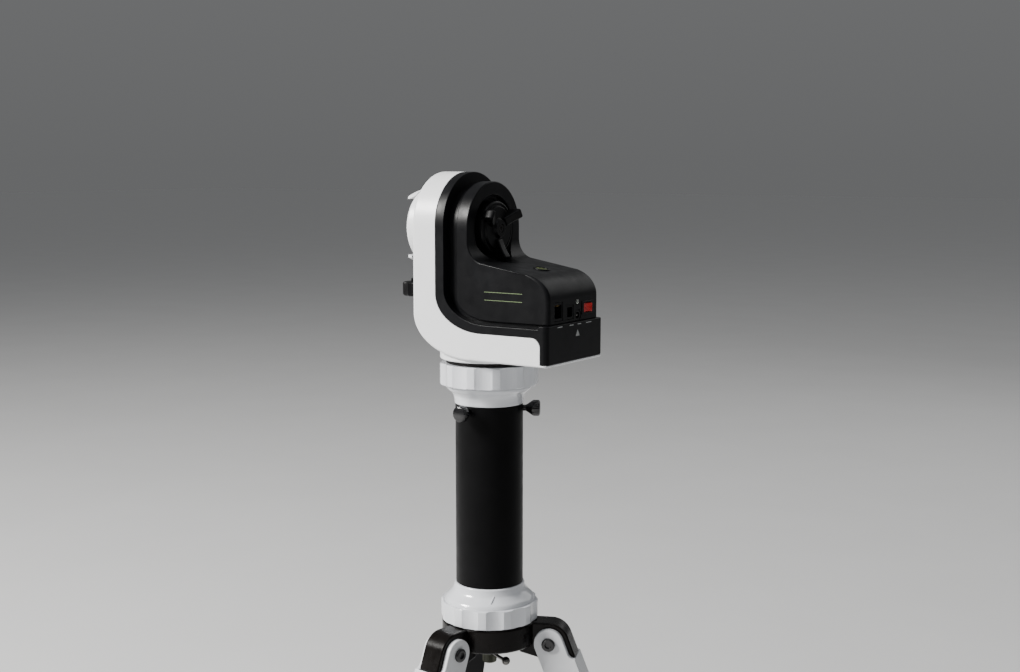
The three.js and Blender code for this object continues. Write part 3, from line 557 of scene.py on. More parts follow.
def white_shell(whole):
    region = [(120, -20), (-80, -20), (-80, HIGH + 20)] + crotch(0) + [(FOOT_END, 2), (120, 2)]
    shell = common(whole, prism(region, -70, 70, "Y"))
    soften(shell, SHELL_ROUND, limit=62, segments=2)
    cavity = [(FOOT_END - WALL, WALL)]
    cavity += arc(*HEEL, HEEL[0] - ARM_LEFT - WALL, -90, -180, HEEL[1] - WALL, steps=32)
    cavity += [(ARM_LEFT + WALL, HIGH), (0, HIGH), (0, 45), (FOOT_END - WALL, 45)]
    hollow = common(prism(cavity, -60, 60, "Y"), arch(HALF_DEPTH - WALL, ARCH_Z, -100, 150))
    low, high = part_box("battery_door")
    inverse = HEAD.inverted()
    low, high = inverse @ low, inverse @ high
    hatch = rectangle(low.x - SEAM, high.x + SEAM, low.y - SEAM, high.y + SEAM)
    return cut(
        shell,
        hollow,
        turned([(0, -5), (47.8, -5), (47.8, 12.3), (0, 12.3)]),
        prism(hatch, -1, WALL + 1, "Z"),
        turned([(0, -80), (SHAFT_BORE, -80), (SHAFT_BORE, -40), (0, -40)], "X", at=(0, 0, ALTITUDE_Z)),
    )


SLOPE_TOP, SLOPE_FOOT = (20, 92.3), (73, 83.2)       # the straight part of the foot's top, in (X, Z)


def cover_top(inset, end):
    """The top of the foot, from its end face up to the arm."""
    start, stop = SLOPE_TOP, SLOPE_FOOT
    points = bezier((end - inset, 60), (end - inset, 71 - inset / 2), (87 - inset / 2, 79.5 - inset),
                    (stop[0], stop[1] - inset))
    points += bezier((start[0] - inset, start[1] - inset), (12 - inset, 94.5 - inset),
                     (ARM_RIGHT - inset, 101 - inset), (ARM_RIGHT - inset, 112))
    return points + [(ARM_RIGHT - inset, HIGH + 20)]


LEVEL_X = 60
LEVEL_TILT = atan2(SLOPE_TOP[1] - SLOPE_FOOT[1], SLOPE_FOOT[0] - SLOPE_TOP[0])
LEVEL_Z = SLOPE_TOP[1] - ((LEVEL_X - SLOPE_TOP[0]) * (SLOPE_TOP[1] - SLOPE_FOOT[1])
                          / (SLOPE_FOOT[0] - SLOPE_TOP[0]))
LEVEL = HEAD @ Matrix.Translation((LEVEL_X, 0, LEVEL_Z)) @ Matrix.Rotation(LEVEL_TILT, 4, "Y")
HAND_PORT = (-27.5, 49.5, 7.5, 8.5)           # middle and half sizes on the end face, in (Y, Z)
SNAP_PORT = (-7, 47.5, 6, 6.5)
BEZEL = (24.25, 49.5, 10.2, 6.5)
POWER_JACK = (7, 43.5, 5.4)
LAMP = (6, 56, 2.5)


def face_box(at, x0, x1, grow=0.0, radius=0.0):
    y, z, half_y, half_z = at
    outline = rectangle(y - half_y - grow, y + half_y + grow, z - half_z - grow, z + half_z + grow, radius)
    return prism(outline, x0, x1, "X")


def face_disc(at, x0, x1, grow=0.0):
    y, z, radius = at
    return turned([(0, x0), (radius + grow, x0), (radius + grow, x1), (0, x1)], "X", 40, at=(0, y, z))


def black_cover(whole):
    rim = [(FOOT_END + SEAM, 2 + SEAM), (120, 2 + SEAM), (120, RAISED_Z - 0.5), (88.5, RAISED_Z - 0.5)]
    rim += rounded([(88.5, RAISED_Z - 0.5), (88.5, RIM_Z), (70, RIM_Z)], 3)[1:-1]
    rim += arc(30, 66, 30 - RIM_EDGE, -90, -180, 66 - RIM_Z, steps=40) + [(RIM_EDGE, HIGH + 20)]
    rim += crotch(SEAM)
    band = soften(common(whole, prism(rim, -70, 70, "Y")), 0.6, limit=50, segments=3)
    raised = [(COVER_END, RAISED_Z)] + cover_top(0, COVER_END) + [(RAISED_EDGE, HIGH + 20)]
    raised += arc(30, 58, 30 - RAISED_EDGE, 180, 270, 58 - RAISED_Z, steps=32)
    block = common(prism(raised, -60, 60, "Y"), arch(COVER_HALF, COVER_ARCH_Z, -100, 150))

    def share(middle):
        if middle.x > 74 and middle.z < 86 and abs(middle.y) > COVER_HALF - 1:
            return 0.3 + 0.7 * min(1, (middle.x - 74) / 18)
        return 0.3
    soften(block, 4.0, limit=30, segments=6, share=share)
    floor = [(FOOT_END + 1, 3), (COVER_END - 0.6, 3)] + cover_top(1.2, COVER_END) + crotch(1)
    core = common(prism(floor, -60, 60, "Y"), arch(GROOVE_HALF, COVER_ARCH_Z, -100, 150))
    hollow = [(COVER_END - WALL, 5.3)] + cover_top(WALL, COVER_END) + [(-40, HIGH + 20), (-40, 5.3)]
    inside = common(prism(hollow, -60, 60, "Y"), arch(GROOVE_HALF - WALL, COVER_ARCH_Z, -100, 150))
    body = cut(
        join(band, core, block),
        inside,
        moved(turned([(0, -3), (8.3, -3), (8.3, 9), (0, 9)], "Z", 48), HEAD.inverted() @ LEVEL),
        face_box(HAND_PORT, *OPENING, 0.3, 0.8),
        face_box(SNAP_PORT, *OPENING, 0.3, 0.8),
        face_box(BEZEL, *OPENING, 0.3, 0.8),
        face_disc(POWER_JACK, *OPENING, 0.3),
        face_disc(LAMP, *OPENING, 0.3),
    )
    cup = common(
        turned([(0, -5), (POCKET_RADIUS + WALL, -5), (POCKET_RADIUS + WALL, 5), (0, 5)], "X",
               at=(0, 0, ALTITUDE_Z)),
        arch(COVER_HALF - 1, COVER_ARCH_Z, -20, 20),
    )
    mouth = [(0, -2), (28.4, -2), (28.4, 0.8), (POCKET_RADIUS, 0.8), (POCKET_RADIUS, 4.4),
             (POCKET_RADIUS + 0.5, 5.4), (POCKET_RADIUS + 1.6, 6.1), (POCKET_RADIUS + 1.6, 40), (0, 40)]
    return cut(
        join(body, cup),
        turned(mouth, "X", 128, at=(0, 0, ALTITUDE_Z)),
        turned([(0, -30), (SHAFT_BORE, -30), (SHAFT_BORE, 20), (0, 20)], "X", at=(0, 0, ALTITUDE_Z)),
    )


def head_shell():
    whole = hull()
    piece("arm_shell_white", white_shell(clone(whole)), "white_paint", "head", "head_frame")
    piece("arm_cover_black", black_cover(whole), "black_plastic", "head", "head_cover")


# ------------------------------------------------------------------ small parts of the head

SOCKET_FACE = COVER_END - 0.3


def socket(name, at, open_y, open_z, contacts, node):
    y, z = at[:2]
    body = soften(face_box(at, 83.5, SOCKET_FACE, 0, 0.7), 0.3, limit=60, segments=2)
    mouth = face_box((y, z, open_y, open_z), 85.5, 100, 0, 0.4)
    piece(name, cut(body, mouth), "black_plastic", "head", node)
    if contacts:
        pitch = 2 * (open_y - 1) / contacts
        pins = []
        for i in range(contacts):
            at_y = y - open_y + 1 + (i + 0.5) * pitch
            outline = [(86, z + open_z - 0.6), (93.5, z + open_z - 0.6), (93.5, z + open_z - 1.1),
                       (87, z + open_z - 3.2), (86, z + open_z - 3.2)]
            pins.append(prism(outline, at_y - 0.27, at_y + 0.27, "Y"))
        piece(f"{name}_contacts", together(*pins), "brass", "head", material=SHADED_GOLD)


def end_face_parts():
    socket("hand_control_socket", HAND_PORT, 6, 6.2, 8, "hand_control_port")
    socket("shutter_socket", SNAP_PORT, 4.4, 4.6, 0, "shutter_port")
    y, z, radius = POWER_JACK
    barrel = [(0, 84), (radius, 84), (radius, SOCKET_FACE), (3.1, SOCKET_FACE), (2.9, 86.5), (0, 86.5)]
    piece("power_socket", lathe(barrel, 0.35, "X", 48, (0, y, z)), "black_plastic", "head", "power_jack")
    pin = [(0, 86), (1.1, 86), (1.1, SOCKET_FACE - 0.8), (0.5, SOCKET_FACE - 0.3), (0, SOCKET_FACE - 0.3)]
    piece("power_socket_pin", lathe(pin, 0.3, "X", 20, (0, y, z)), "steel", "head", material=DIMMED_CHROME)
    y, z, radius = LAMP
    dome = [(0, 90), (radius, 90), (radius, 95.4), (1.9, 96.1), (0, 96.5)]
    piece("status_lamp_lens", lathe(dome, 0.9, "X", 32, (0, y, z)), "clear_plastic", "head", "status_lamp")
    y, z = BEZEL[:2]
    bezel = soften(face_box(BEZEL, 85, COVER_END + 0.6, 0, 1.2), 0.45, limit=60)
    opening = face_box((y, z, 6.8, 4.6), 87, 100, 0, 0.5)
    piece("rocker_bezel", cut(bezel, opening), "black_knob", "head", "power_switch_bezel")
    marks = []
    for middle, half in ((-27.5, 4.5), (-7, 3.6), (7, 3.2), (24.2, 5)):
        outline = rectangle(middle - half, middle + half, 35.1, 35.9, 0.3)
        marks.append(prism(outline, LIP_END - 0.4, LIP_END + 0.06, "X"))
    triangle = rounded([(0.5, 24.5), (7.5, 24.5), (4, 30.5)], 0.4, closed=True)
    marks.append(prism(triangle, LIP_END - 0.4, LIP_END + 0.06, "X"))
    piece("end_plate_marks", together(*marks), "white_paint", "head", material=PRINT_WHITE)
    lines = []
    for height in (58, 65.5):
        outline = rectangle(25, 67, height - 0.28, height + 0.28, 0.2)
        lines.append(prism(outline, -COVER_HALF - 0.08, -COVER_HALF + 0.4, "Y"))
    piece("cover_accent_lines", together(*lines), "white_paint", "head", material=PRINT_GREEN)


def power_switch():
    """A shallow roof on its pivot, with a pressed-in mark on each half."""
    outline = [(-3, -4), (1.2, -6.1)]
    outline += rounded([(1.2, -6.1), (4.7, -6.1), (4.1, -3.1)], 0.5)[1:]
    outline += [(3.9, -1.6), (3.82, 0), (3.9, 1.6), (4.1, 3.1)]
    outline += rounded([(4.1, 3.1), (4.7, 6.1), (1.2, 6.1)], 0.5)[1:] + [(-3, 4)]
    rocker = soften(prism(outline, -4.1, 4.1, "Z"), 0.4, limit=50)
    pivot = Matrix.Translation((92.5, BEZEL[0], BEZEL[1])) @ Matrix.Rotation(radians(-10), 4, "Z")
    bar = prism(rectangle(-4.1, -3.7, -1.4, 1.4, 0.1), 3.9, 6, "X")
    ring_mark = turned([(1.2, 3.8), (1.6, 3.8), (1.6, 6), (1.2, 6), (1.2, 3.8)], "X", 32, at=(0, 3.9, 0))
    marked = cut(rocker, bar, ring_mark)
    piece("rocker_switch", marked, "red_plastic", "power_rocker", "power_rocker", HEAD @ pivot)


def bubble_level():
    bezel = [(6.1, -2.2), (8, -2.2), (8, 0.6), (7.6, 1), (6.1, 1), (6.1, -2.2)]
    piece("level_bezel", lathe(bezel, 0.25, steps=64), "black_knob", "head", place=LEVEL)
    vial = [(0, -2.6), (6, -2.6), (6, 0.35), (3.5, 0.85), (0, 1.05)]
    piece("level_vial", lathe(vial, 0.4, steps=64), "clear_plastic", "head", "bubble_level",
          LEVEL, LEVEL_FLUID)
    circle = turned([(2.3, 0.93), (2.7, 0.93), (2.7, 1.07), (2.3, 1.07), (2.3, 0.93)], steps=64)
    piece("level_circle", circle, "black_knob", "head", place=LEVEL)


def base_flange():
    profile = [(30, -2.9), (46.5, -2.9), (47.5, -1.9), (47.5, 8.5), (45, 12), (30, 12), (30, -2.9)]
    piece("head_base_flange", lathe(profile, 0.7, steps=160), "white_paint", "head", "azimuth_base_flange")


# ------------------------------------------------------------------ altitude axis, saddle and clutch

ALTITUDE = HEAD @ Matrix.Translation((0, 0, ALTITUDE_Z))
SADDLE_FACE, SEAT_FACE, JAW_TIP = -72.5, -74.5, -80.5
JAW_HALF = 22
CLAMP_X, CLAMP_Y = -73.5, -19


def saddle():
    """A round plate with a raised seat between two hooked jaws."""
    face, tip = SADDLE_FACE, JAW_TIP
    plate = lathe([(0, face), (35, face), (37.5, face + 2.5), (37.5, -56.5), (36, -55), (0, -55)],
                  1.2, "X", 128)
    upper = [(face + 1, 36.9), (face + 1, 30.2), (tip, 26.8), (tip, 28.6), (tip + 5, 33.6)]
    lower = [(face + 1, -36.9), (tip + 5, -35), (tip, -30), (tip, -27), (face + 1, -30.2)]
    seat = prism(rectangle(-JAW_HALF, JAW_HALF, -17, 25, 1.5), SEAT_FACE, face + 1, "X")
    plate = join(plate, soften(seat, 0.5, limit=60, segments=2))
    for jaw in (upper, lower):
        outline = rounded(jaw, 0.8, closed=True)
        trim = turned([(0, -90), (37.3, -90), (37.3, -60), (0, -60)], "X", 128)
        plate = join(plate, common(prism(outline, -JAW_HALF, JAW_HALF, "Y"), trim))
    slot = arc(CLAMP_X, CLAMP_Y, 3.1, 0, 180, steps=16) + [(CLAMP_X - 3.1, -30), (CLAMP_X + 3.1, -30)]
    plate = cut(plate, prism(slot, -60, -20, "Z"))
    heads = []
    for y, z in ((-15, 18), (-15, -10), (15, 18), (15, -10)):
        well = [(0, SEAT_FACE - 2), (3.3, SEAT_FACE - 2), (3.3, SEAT_FACE + 2), (0, SEAT_FACE + 2)]
        plate = cut(plate, turned(well, "X", 32, at=(0, y, z)))
        head = [(0, SEAT_FACE + 2.2), (2.9, SEAT_FACE + 2.2), (2.9, SEAT_FACE + 0.8), (2.5, SEAT_FACE + 0.2),
                (1.4, SEAT_FACE + 0.2), (1.4, SEAT_FACE + 1.2), (0, SEAT_FACE + 1.2)]
        heads.append(lathe(head, 0.2, "X", 24, (0, y, z)))
    piece("saddle_disc", plate, "white_paint", "altitude", "saddle_plate", ALTITUDE)
    piece("saddle_screws", together(*heads), "steel", "altitude", place=ALTITUDE)


def saddle_clamp():
    base, tip = SADDLE_FACE - 0.4, JAW_TIP + 3
    outline = rounded([(base, -22.6), (tip, -19.5), (tip, -23), (base, -26.2)], 0.6, closed=True)
    bar = soften(prism(outline, 4 - JAW_HALF, JAW_HALF - 4, "Y"), 0.5, limit=60, segments=2)
    piece("saddle_clamp_bar", bar, "steel", "clamp_plate", "saddle_clamp_plate", ALTITUDE)
    profile = [(0, -67.5), (11, -67.5, 0.6), (12.6, -66.9, 0.9), (13.3, -65.6, 1), (13.3, -55.4, 1),
               (12.6, -54.1, 0.9), (11, -53.5, 0.5), (5, -53.5), (5, -50.5), (2.6, -50.5), (2.6, -26.5),
               (0, -26.5)]
    grip = turned(profile, "Z", 144, lambda a: 1.1 * abs(sin(6 * a)) ** 0.8, (CLAMP_X, CLAMP_Y, 0))
    piece("saddle_clamp_grip", grip, "black_knob", "clamp_knob", "saddle_clamp_knob", ALTITUDE)


def clutch_knob():
    """A round body with rings turned in its face and three finger wings."""
    body = lathe([(0, -1.4), (24.5, -1.4), (26, 0), (26, 8.6), (25, 10), (23.6, 10.4), (22.8, 9.6),
                  (21.4, 9.6), (20.6, 11.5), (10, 11.5), (9, 12.2), (8, 14.5), (4.2, 14.5), (4.2, 12.6),
                  (0, 12.6)], 0.5, "X", 120)
    wings = []
    for angle in (30, 150, 270):
        outline = [(10.4, 8), (27, 8)]
        outline += bezier((27, 8), (29.4, 12), (30.2, 16), (29.4, 20), 8)[1:]
        outline += bezier((29.4, 20), (29, 21.8), (27.6, 22.3), (26, 21.8), 5)[1:]
        outline += bezier((26, 21.8), (20, 17.4), (15, 15), (10.4, 13.6), 8)[1:]
        wing = soften(prism(outline, -4.4, 4.4, "Z"), 1.4, limit=40, segments=4)
        stand = Matrix(((0, 1, 0, 0), (1, 0, 0, 0), (0, 0, -1, 0), (0, 0, 0, 1)))
        wings.append(moved(wing, Matrix.Rotation(radians(angle), 4, "X") @ stand))
    bore = turned([(0, -5), (12.3, -5), (12.3, 2), (0, 2)], "X", 64)
    knob = merged(cut(join(body, *wings), bore))
    piece("clutch_grip", knob, "black_knob", "altitude_clutch", "altitude_clutch_knob", ALTITUDE)
    screw = lathe([(0, 13.1), (1.5, 13.1), (1.9, 14.3), (3.6, 14.3), (3.9, 13.6), (3.9, 11), (0, 11)],
                  0.2, "X", 40)
    piece("clutch_centre_screw", screw, "steel", "altitude_clutch", place=ALTITUDE, material=DARK_OXIDE)


# ------------------------------------------------------------------ pier

def scalloped(low, high, inner, start):
    """A clamping ring with finger hollows between flat lands, cut across its chamfered wall."""
    wall = [(inner, low), (RING_RADIUS, low), (RING_RADIUS, high), (inner, high), (inner, low)]
    body = turned(wall, steps=240)
    soften(body, 1.6, limit=60, segments=4, share=lambda at: 0 if at.xy.length < inner + 1 else 1)
    pitch = 360 / LOBES
    hollows = []
    for i in range(LOBES):
        middle = radians(start + (i + 0.35) * pitch)
        reach = RING_RADIUS - HOLLOW_DEPTH + HOLLOW_RADIUS
        tool = [(0, low - 1), (HOLLOW_RADIUS, low - 1), (HOLLOW_RADIUS, high + 1), (0, high + 1)]
        hollows.append(turned(tool, steps=72, at=(reach * cos(middle), reach * sin(middle), 0)))

    def share(middle):
        beside_a_land = middle.xy.length > RING_RADIUS - 3.2
        return 1 if beside_a_land and low + 1.7 < middle.z < high - 1.7 else 0
    return soften(cut(body, *hollows), 0.5, limit=12, segments=3, share=share)


def pier():
    ring_piece = scalloped(-28, -7, 35.5, RING_TURN)
    piece("upper_clamping_ring", ring_piece, "gloss_white", "azimuth_clutch", "azimuth_clutch_ring")
    cap = [(14, -66), (29.6, -66), (29.6, -47), (33.8, -47), (34.1, -42.4), (35, -38.6), (37.2, -35.4),
           (40.2, -33.2), (42, -31), (42, -28.4), (14, -28.4), (14, -66)]
    piece("pier_cap", lathe(cap, 1.3, steps=160), "gloss_white", "stand", "pier_top_cap")
    tube = lathe(sleeve(30, 33, -225, -47.3), 0.5, steps=160)
    holes = []
    for azimuth in SCREW_AZIMUTHS:
        drill = turned([(0, 20), (3.3, 20), (3.3, 40), (0, 40)], "X", 32, at=(0, 0, SCREW_DROP))
        holes.append(moved(drill, Matrix.Rotation(radians(azimuth), 4, "Z")))
    piece("pier_tube_skin", cut(tube, *holes), "black_tube", "stand", "pier_tube")
    cone = [(5.6, -258), (44.5, -258), (45, -243.2), (43.4, -239.4), (39.6, -236), (36.4, -232.4),
            (34.9, -228.4), (34.4, -225.3), (29.7, -225.3), (29.7, -203), (5.6, -203), (5.6, -258)]
    rib = soften(prism(rectangle(-4.5, 4.5, -0.7, 0.7, 0.3), -1.5, 0.7, "Z"), 0.3, limit=50, segments=2)
    lean = Matrix.Rotation(radians(48), 4, "Y") @ Matrix.Rotation(radians(-24), 4, "Z")
    spot = Matrix.Rotation(radians(-52), 4, "Z") @ Matrix.Translation((38.2, 0, -234.4)) @ lean
    body = join(lathe(cone, 1.6, steps=160), moved(rib, spot))
    piece("pier_foot_cone", body, "gloss_white", "stand", "pier_base")
    piece("lower_clamping_ring", scalloped(-261.7, -243, 20, 0), "gloss_white", "stand")
    spindle = [(12, -28), (33.8, -28), (33.8, -6.9), (42, -6.7), (42, -3.4), (22, -3.2), (22, 30), (12, 30),
               (12, -28)]
    piece("azimuth_neck", lathe(spindle, 0.4, steps=128), "steel", "stand", "azimuth_spindle",
          material=DARK_OXIDE)
    for i, azimuth in enumerate(SCREW_AZIMUTHS):
        profile = [(0, 30.1), (3, 30.1), (3, 35.8), (4.1, 37.6, 0), (6.8, 41.4, 0.4), (7.9, 43.4, 1),
                   (7.9, 48, 1), (7.4, 49, 0.8), (6, 49.7, 0), (0, 49.8)]
        knob = turned(profile, "X", 96, lambda a: 0.35 * (0.5 - 0.5 * cos(18 * a)), (0, 0, SCREW_DROP))
        piece(f"thumb_screw_grip_{i + 1}", knob, "black_knob", f"thumb_screw_{i + 1}",
              f"pier_thumb_screw_{i + 1}", turned_frame(azimuth), GLOSS_BLACK)


# ------------------------------------------------------------------ tripod head

def splayed(points):
    """Points of a leg's frame, in the upright frame of its spoke."""
    a = radians(LEG_SPLAY)
    return [(x * cos(a) - z * sin(a), x * sin(a) + z * cos(a)) for x, z in points]


def hub():
    plate = lathe([(5.4, HUB_BOTTOM), (45, HUB_BOTTOM), (47, HUB_BOTTOM + 2), (47, HUB_TOP - 1.5),
                   (45.5, HUB_TOP), (5.4, HUB_TOP), (5.4, HUB_BOTTOM)], 1.0, steps=160)
    outline = [(-30, 19.5)] + arc(0, 0, 19.5, 90, LEG_SPLAY, steps=24)
    outline += splayed([(19.5, -21.5), (14, -21.5), (8, -13.5), (-12, -13.5)]) + [(-30, -11)]
    lugs = []
    for azimuth in LEG_AZIMUTHS:
        lug = soften(prism(outline, -LUG_HALF, LUG_HALF, "Y"), 1.6, limit=40, segments=4)
        lug = cut(lug, turned([(0, -20), (PIVOT_HOLE, -20), (PIVOT_HOLE, 20), (0, 20)], "Y", 32))
        spoke = Matrix.Rotation(radians(azimuth), 4, "Z") @ Matrix.Translation((PIVOT_RADIUS, 0, -PIVOT_DROP))
        lugs.append(moved(lug, spoke))
    piece("tripod_hub_casting", join(plate, *lugs), "black_casting", "stand", "tripod_hub")


TOMMY_Z, TOMMY_AZIMUTH, TOMMY_REACH = -299, -25, 31


def hub_bolts():
    for i, azimuth in enumerate(LEG_AZIMUTHS):
        sides = []
        for side in (1, -1):
            base = EAR_HALF + 0.3
            cap = lathe([(0, base - 2), (4, base - 2), (4, base), (6.6, base), (6.6, base + 1.9),
                         (5.6, base + 3), (3.0, base + 3), (2.7, base + 1), (0, base + 1)], 0.4, "Y", 48)
            if side < 0:
                cap.data.transform(Matrix.Scale(-1, 4, (0, 1, 0)))
                cap.data.flip_normals()
            sides.append(cap)
        shank = lathe([(0, -17), (4, -17), (4, 17), (0, 17)], 0.3, "Y", 32)
        piece(f"pivot_bolt_{i + 1}", together(*sides, shank), "black_knob", "stand",
              f"leg_pivot_bolt_{i + 1}", leg_frame(azimuth), GLOSS_BLACK)
    knurl = [(0, -309), (5.6, -309, 0.4), (6.7, -308.3, 1), (7, -307.3, 1), (7, -287.6, 1), (6.5, -286.6, 1),
             (5, -286.3), (5, -246), (0, -246)]
    knob = turned(knurl, "Z", 216, lambda a: 0.45 * (0.5 - 0.5 * cos(36 * a)))
    drill = turned([(0, -20), (2.1, -20), (2.1, 20), (0, 20)], "X", 32)
    across = Matrix.Translation((0, 0, TOMMY_Z)) @ Matrix.Rotation(radians(TOMMY_AZIMUTH), 4, "Z")
    piece("centre_bolt_knob", cut(knob, moved(drill, across)), "olive_metal", "centre_bolt", "centre_bolt")
    bar = [(0, -9), (1.8, -9), (1.8, TOMMY_REACH - 3.8)]
    bar += [(r, x) for x, r in arc(TOMMY_REACH, 0, 4.2, 155, 0, steps=20)][:-1] + [(0, TOMMY_REACH + 4.2)]
    piece("tommy_bar", turned(bar, "X", 32), "steel", "centre_bolt", "centre_bolt_tommy_bar",
          HEAD @ across, DIMMED_CHROME)


# ------------------------------------------------------------------ legs

SHOULDER = -22.3
INNER_STRIP_TOP = -26
UPPER_END, COLLAR_END = -335, -372
LEVER_X, LEVER_Z = 30, -364
LOWER_TOP, LOWER_END = -60, -600
LEG_LENGTH = 620


def bore(x, z, radius, reach):
    return turned([(0, -reach), (radius, -reach), (radius, reach), (0, reach)], "Y", 32, at=(x, 0, z))


def upper_leg(number, place):
    outline = arc(0, 0, 14.7, 0, 180, steps=40) + [(-14.7, UPPER_END), (20, UPPER_END), (20, SHOULDER)]
    outline += bezier((20, SHOULDER), (19, SHOULDER + 0.4), (15.6, SHOULDER + 2), (14.7, SHOULDER + 6), 6)[1:]
    leg = soften(prism(outline, -EAR_HALF, EAR_HALF, "Y"), 1.2, limit=45)
    leg = cut(
        leg,
        prism(rectangle(-30, 30, SHOULDER, 30), -LUG_HALF - 0.3, LUG_HALF + 0.3, "Y"),
        prism(rectangle(-30, 17, UPPER_END - 1, SHOULDER + 0.5), -14, 14, "Y"),
        bore(0, 0, PIVOT_HOLE, 20),
    )
    leg = cut(leg, prism(rectangle(-30, -13.6, -400, INNER_STRIP_TOP + 0.1), -16.5, 16.5, "Y"))
    piece(f"upper_leg_channel_{number}", leg, "leg_white", f"leg_{number}", f"upper_leg_{number}", place)
    # A black strip across the inner side of the channel, from the collar up to just below the shoulder.
    inner_strip = prism(rectangle(-14.7, -13.7, UPPER_END + 0.5, INNER_STRIP_TOP), -16.4, 16.4, "Y")
    inner_strip = soften(inner_strip, 0.4, limit=60)
    piece(f"upper_leg_inner_strip_{number}", inner_strip, "black_plastic", f"leg_{number}", place=place)


def clamp_collar(number, place):
    collar = soften(prism(rectangle(-19, 24, -21, 21, 4), COLLAR_END, UPPER_END - 0.3, "Z"), 1.6, limit=60)
    lug = [(22, LEVER_Z + 8), (LEVER_X, LEVER_Z + 6)] + arc(LEVER_X, LEVER_Z, 6, 80, -90, steps=20)
    lug += [(22, LEVER_Z - 7)]
    ears = [soften(prism(lug, y, y + 4, "Y"), 0.5, limit=50, segments=2) for y in (-12.5, 8.5)]
    collar = cut(
        join(collar, *ears),
        prism(rectangle(-13.4, 16.4, -13.9, 13.9, 1), COLLAR_END - 1, UPPER_END + 1, "Z"),
        bore(LEVER_X, LEVER_Z, 2.4, 20),
    )
    grooves = [prism(rectangle(x, x + 1.2, low, high), -366, -341, "Z")
               for low, high in ((-30, -20.3), (20.3, 30)) for x in (-12, -7, -2, 3, 8, 13)]
    piece(f"clamp_collar_{number}", cut(collar, together(*grooves)), "black_plastic", f"leg_{number}",
          f"leg_clamp_collar_{number}", place)
    paddle = arc(LEVER_X, LEVER_Z, 5.4, 180, 360, steps=24)
    paddle += bezier((LEVER_X + 5.4, LEVER_Z), (LEVER_X + 5.2, LEVER_Z + 8), (LEVER_X + 2, LEVER_Z + 14),
                     (LEVER_X - 1, LEVER_Z + 20), 10)[1:]
    paddle += [(LEVER_X - 1.5, LEVER_Z + 44)] + arc(LEVER_X - 3.5, LEVER_Z + 44, 2, 0, 180, steps=8)
    lever = soften(prism(paddle, -8, 8, "Y"), 0.9, limit=50)
    pin = lathe([(0, -12.3), (2, -12.3), (2, 12.3), (0, 12.3)], 0.3, "Y", 24, (LEVER_X, 0, LEVER_Z))
    piece(f"clamp_lever_{number}", join(lever, pin), "black_knob", f"leg_lever_{number}",
          f"leg_clamp_lever_{number}", place)


def lower_leg(number, place):
    tube = prism(rectangle(-13, 16, -13.5, 13.5, 2.4), LOWER_END, LOWER_TOP, "Z")
    tube = soften(tube, 0.5, limit=60, segments=2)
    tube = cut(tube, prism(rectangle(-11.4, 14.4, -11.9, 11.9, 1.2), LOWER_END - 1, LOWER_TOP + 1, "Z"))
    flutes = [prism(rectangle(x, x + 1, low, high), -596, -64, "Z")
              for low, high in ((-14, -13.2), (13.2, 14)) for x in (-6, 0, 6)]
    piece(f"lower_leg_tube_{number}", cut(tube, together(*flutes)), "leg_aluminium",
          f"leg_section_{number}", f"lower_leg_{number}", place)
    profile = [(0, -645), (16, -645)]
    for z in range(-642, -611, 5):
        profile += [(16, z), (15.1, z + 0.8), (15.1, z + 1.8), (16, z + 2.6)]
    profile += [(16, -609.6), (14.5, -605), (14.5, -600.3), (0, -600.3)]
    pad = lathe(profile, 0.4, steps=64, at=(1.5, 0, 0), round_steps=2)
    plug = prism(rectangle(-11, 14, -11.5, 11.5, 1), LOWER_END - 0.2, LOWER_END + 14, "Z")
    floor = -LEG_LENGTH * cos(radians(LEG_SPLAY))
    upright = Matrix.Rotation(radians(LEG_SPLAY), 4, "Y")
    ground = moved(prism(rectangle(-600, 600, -900, floor), -50, 50, "Y"), upright)
    piece(f"foot_pad_{number}", together(plug, cut(pad, ground)), "rubber", f"leg_section_{number}",
          f"rubber_foot_{number}", place)


def legs():
    for i, azimuth in enumerate(LEG_AZIMUTHS):
        place = leg_frame(azimuth)
        upper_leg(i + 1, place)
        clamp_collar(i + 1, place)
        lower_leg(i + 1, place)


# ------------------------------------------------------------------ pieces whose CAD shape is kept

def dress_cad_nodes():
    """Inner pieces keep their CAD mesh, with a small bevel and the finish of their slot."""
    looks = {
        "altitude_shaft": "steel", "altitude_bearing_saddle_side": "steel",
        "altitude_bearing_clutch_side": "steel", "altitude_worm_wheel": "brass",
        "altitude_encoder_disc": "clear_plastic", "altitude_worm": "steel", "altitude_motor": "steel",
        "azimuth_bearing": "steel", "azimuth_worm": "steel", "azimuth_motor": "steel",
        "azimuth_worm_wheel": "brass", "azimuth_encoder_disc": "clear_plastic",
        "control_board": "circuit_board", "battery_holder": "black_plastic", "battery_door": "white_paint",
    }
    for name, obj in NODES.items():
        if obj.hide_render:
            continue
        slot = looks[name]
        obj.data.materials.clear()
        obj.data.materials.append(MATERIALS[slot])
        obj.modifiers.new("weld", "WELD").merge_threshold = 0.001 * MM
        bevel = obj.modifiers.new("edges", "BEVEL")
        bevel.width = 0.15 * MM
        bevel.segments = 2
        bevel.limit_method = "ANGLE"
        bevel.angle_limit = radians(50)


# ------------------------------------------------------------------ stage, light and camera

FLOOR_SHADE = 0.62
ZENITH = 0.27                   # strength of the sky overhead
LIGHT_DISTANCE = 5              # metres
LENS = 49.41                    # millimetres
EYE = (0.7599, -1.1114, 0.1856)     # from the underside of the head, in metres
EYE_TILT, EYE_TURN = 82.9, 33.5     # degrees


def stage():
    bm = bmesh.new()
    corners = [bm.verts.new((x, y, 0)) for x, y in ((-40, -40), (40, -40), (40, 40), (-40, 40))]
    bm.faces.new(corners)
    floor = as_object(bm, "floor")
    surface = Surface("pale_floor", (FLOOR_SHADE,) * 3, 0.85, Specular_IOR_Level=0.1)
    surface.shade(surface.noise(3, 4), (FLOOR_SHADE * 0.98,) * 3)
    surface.bump(surface.noise(300, 3), 2.0e-5)
    floor.data.materials.append(surface.material)


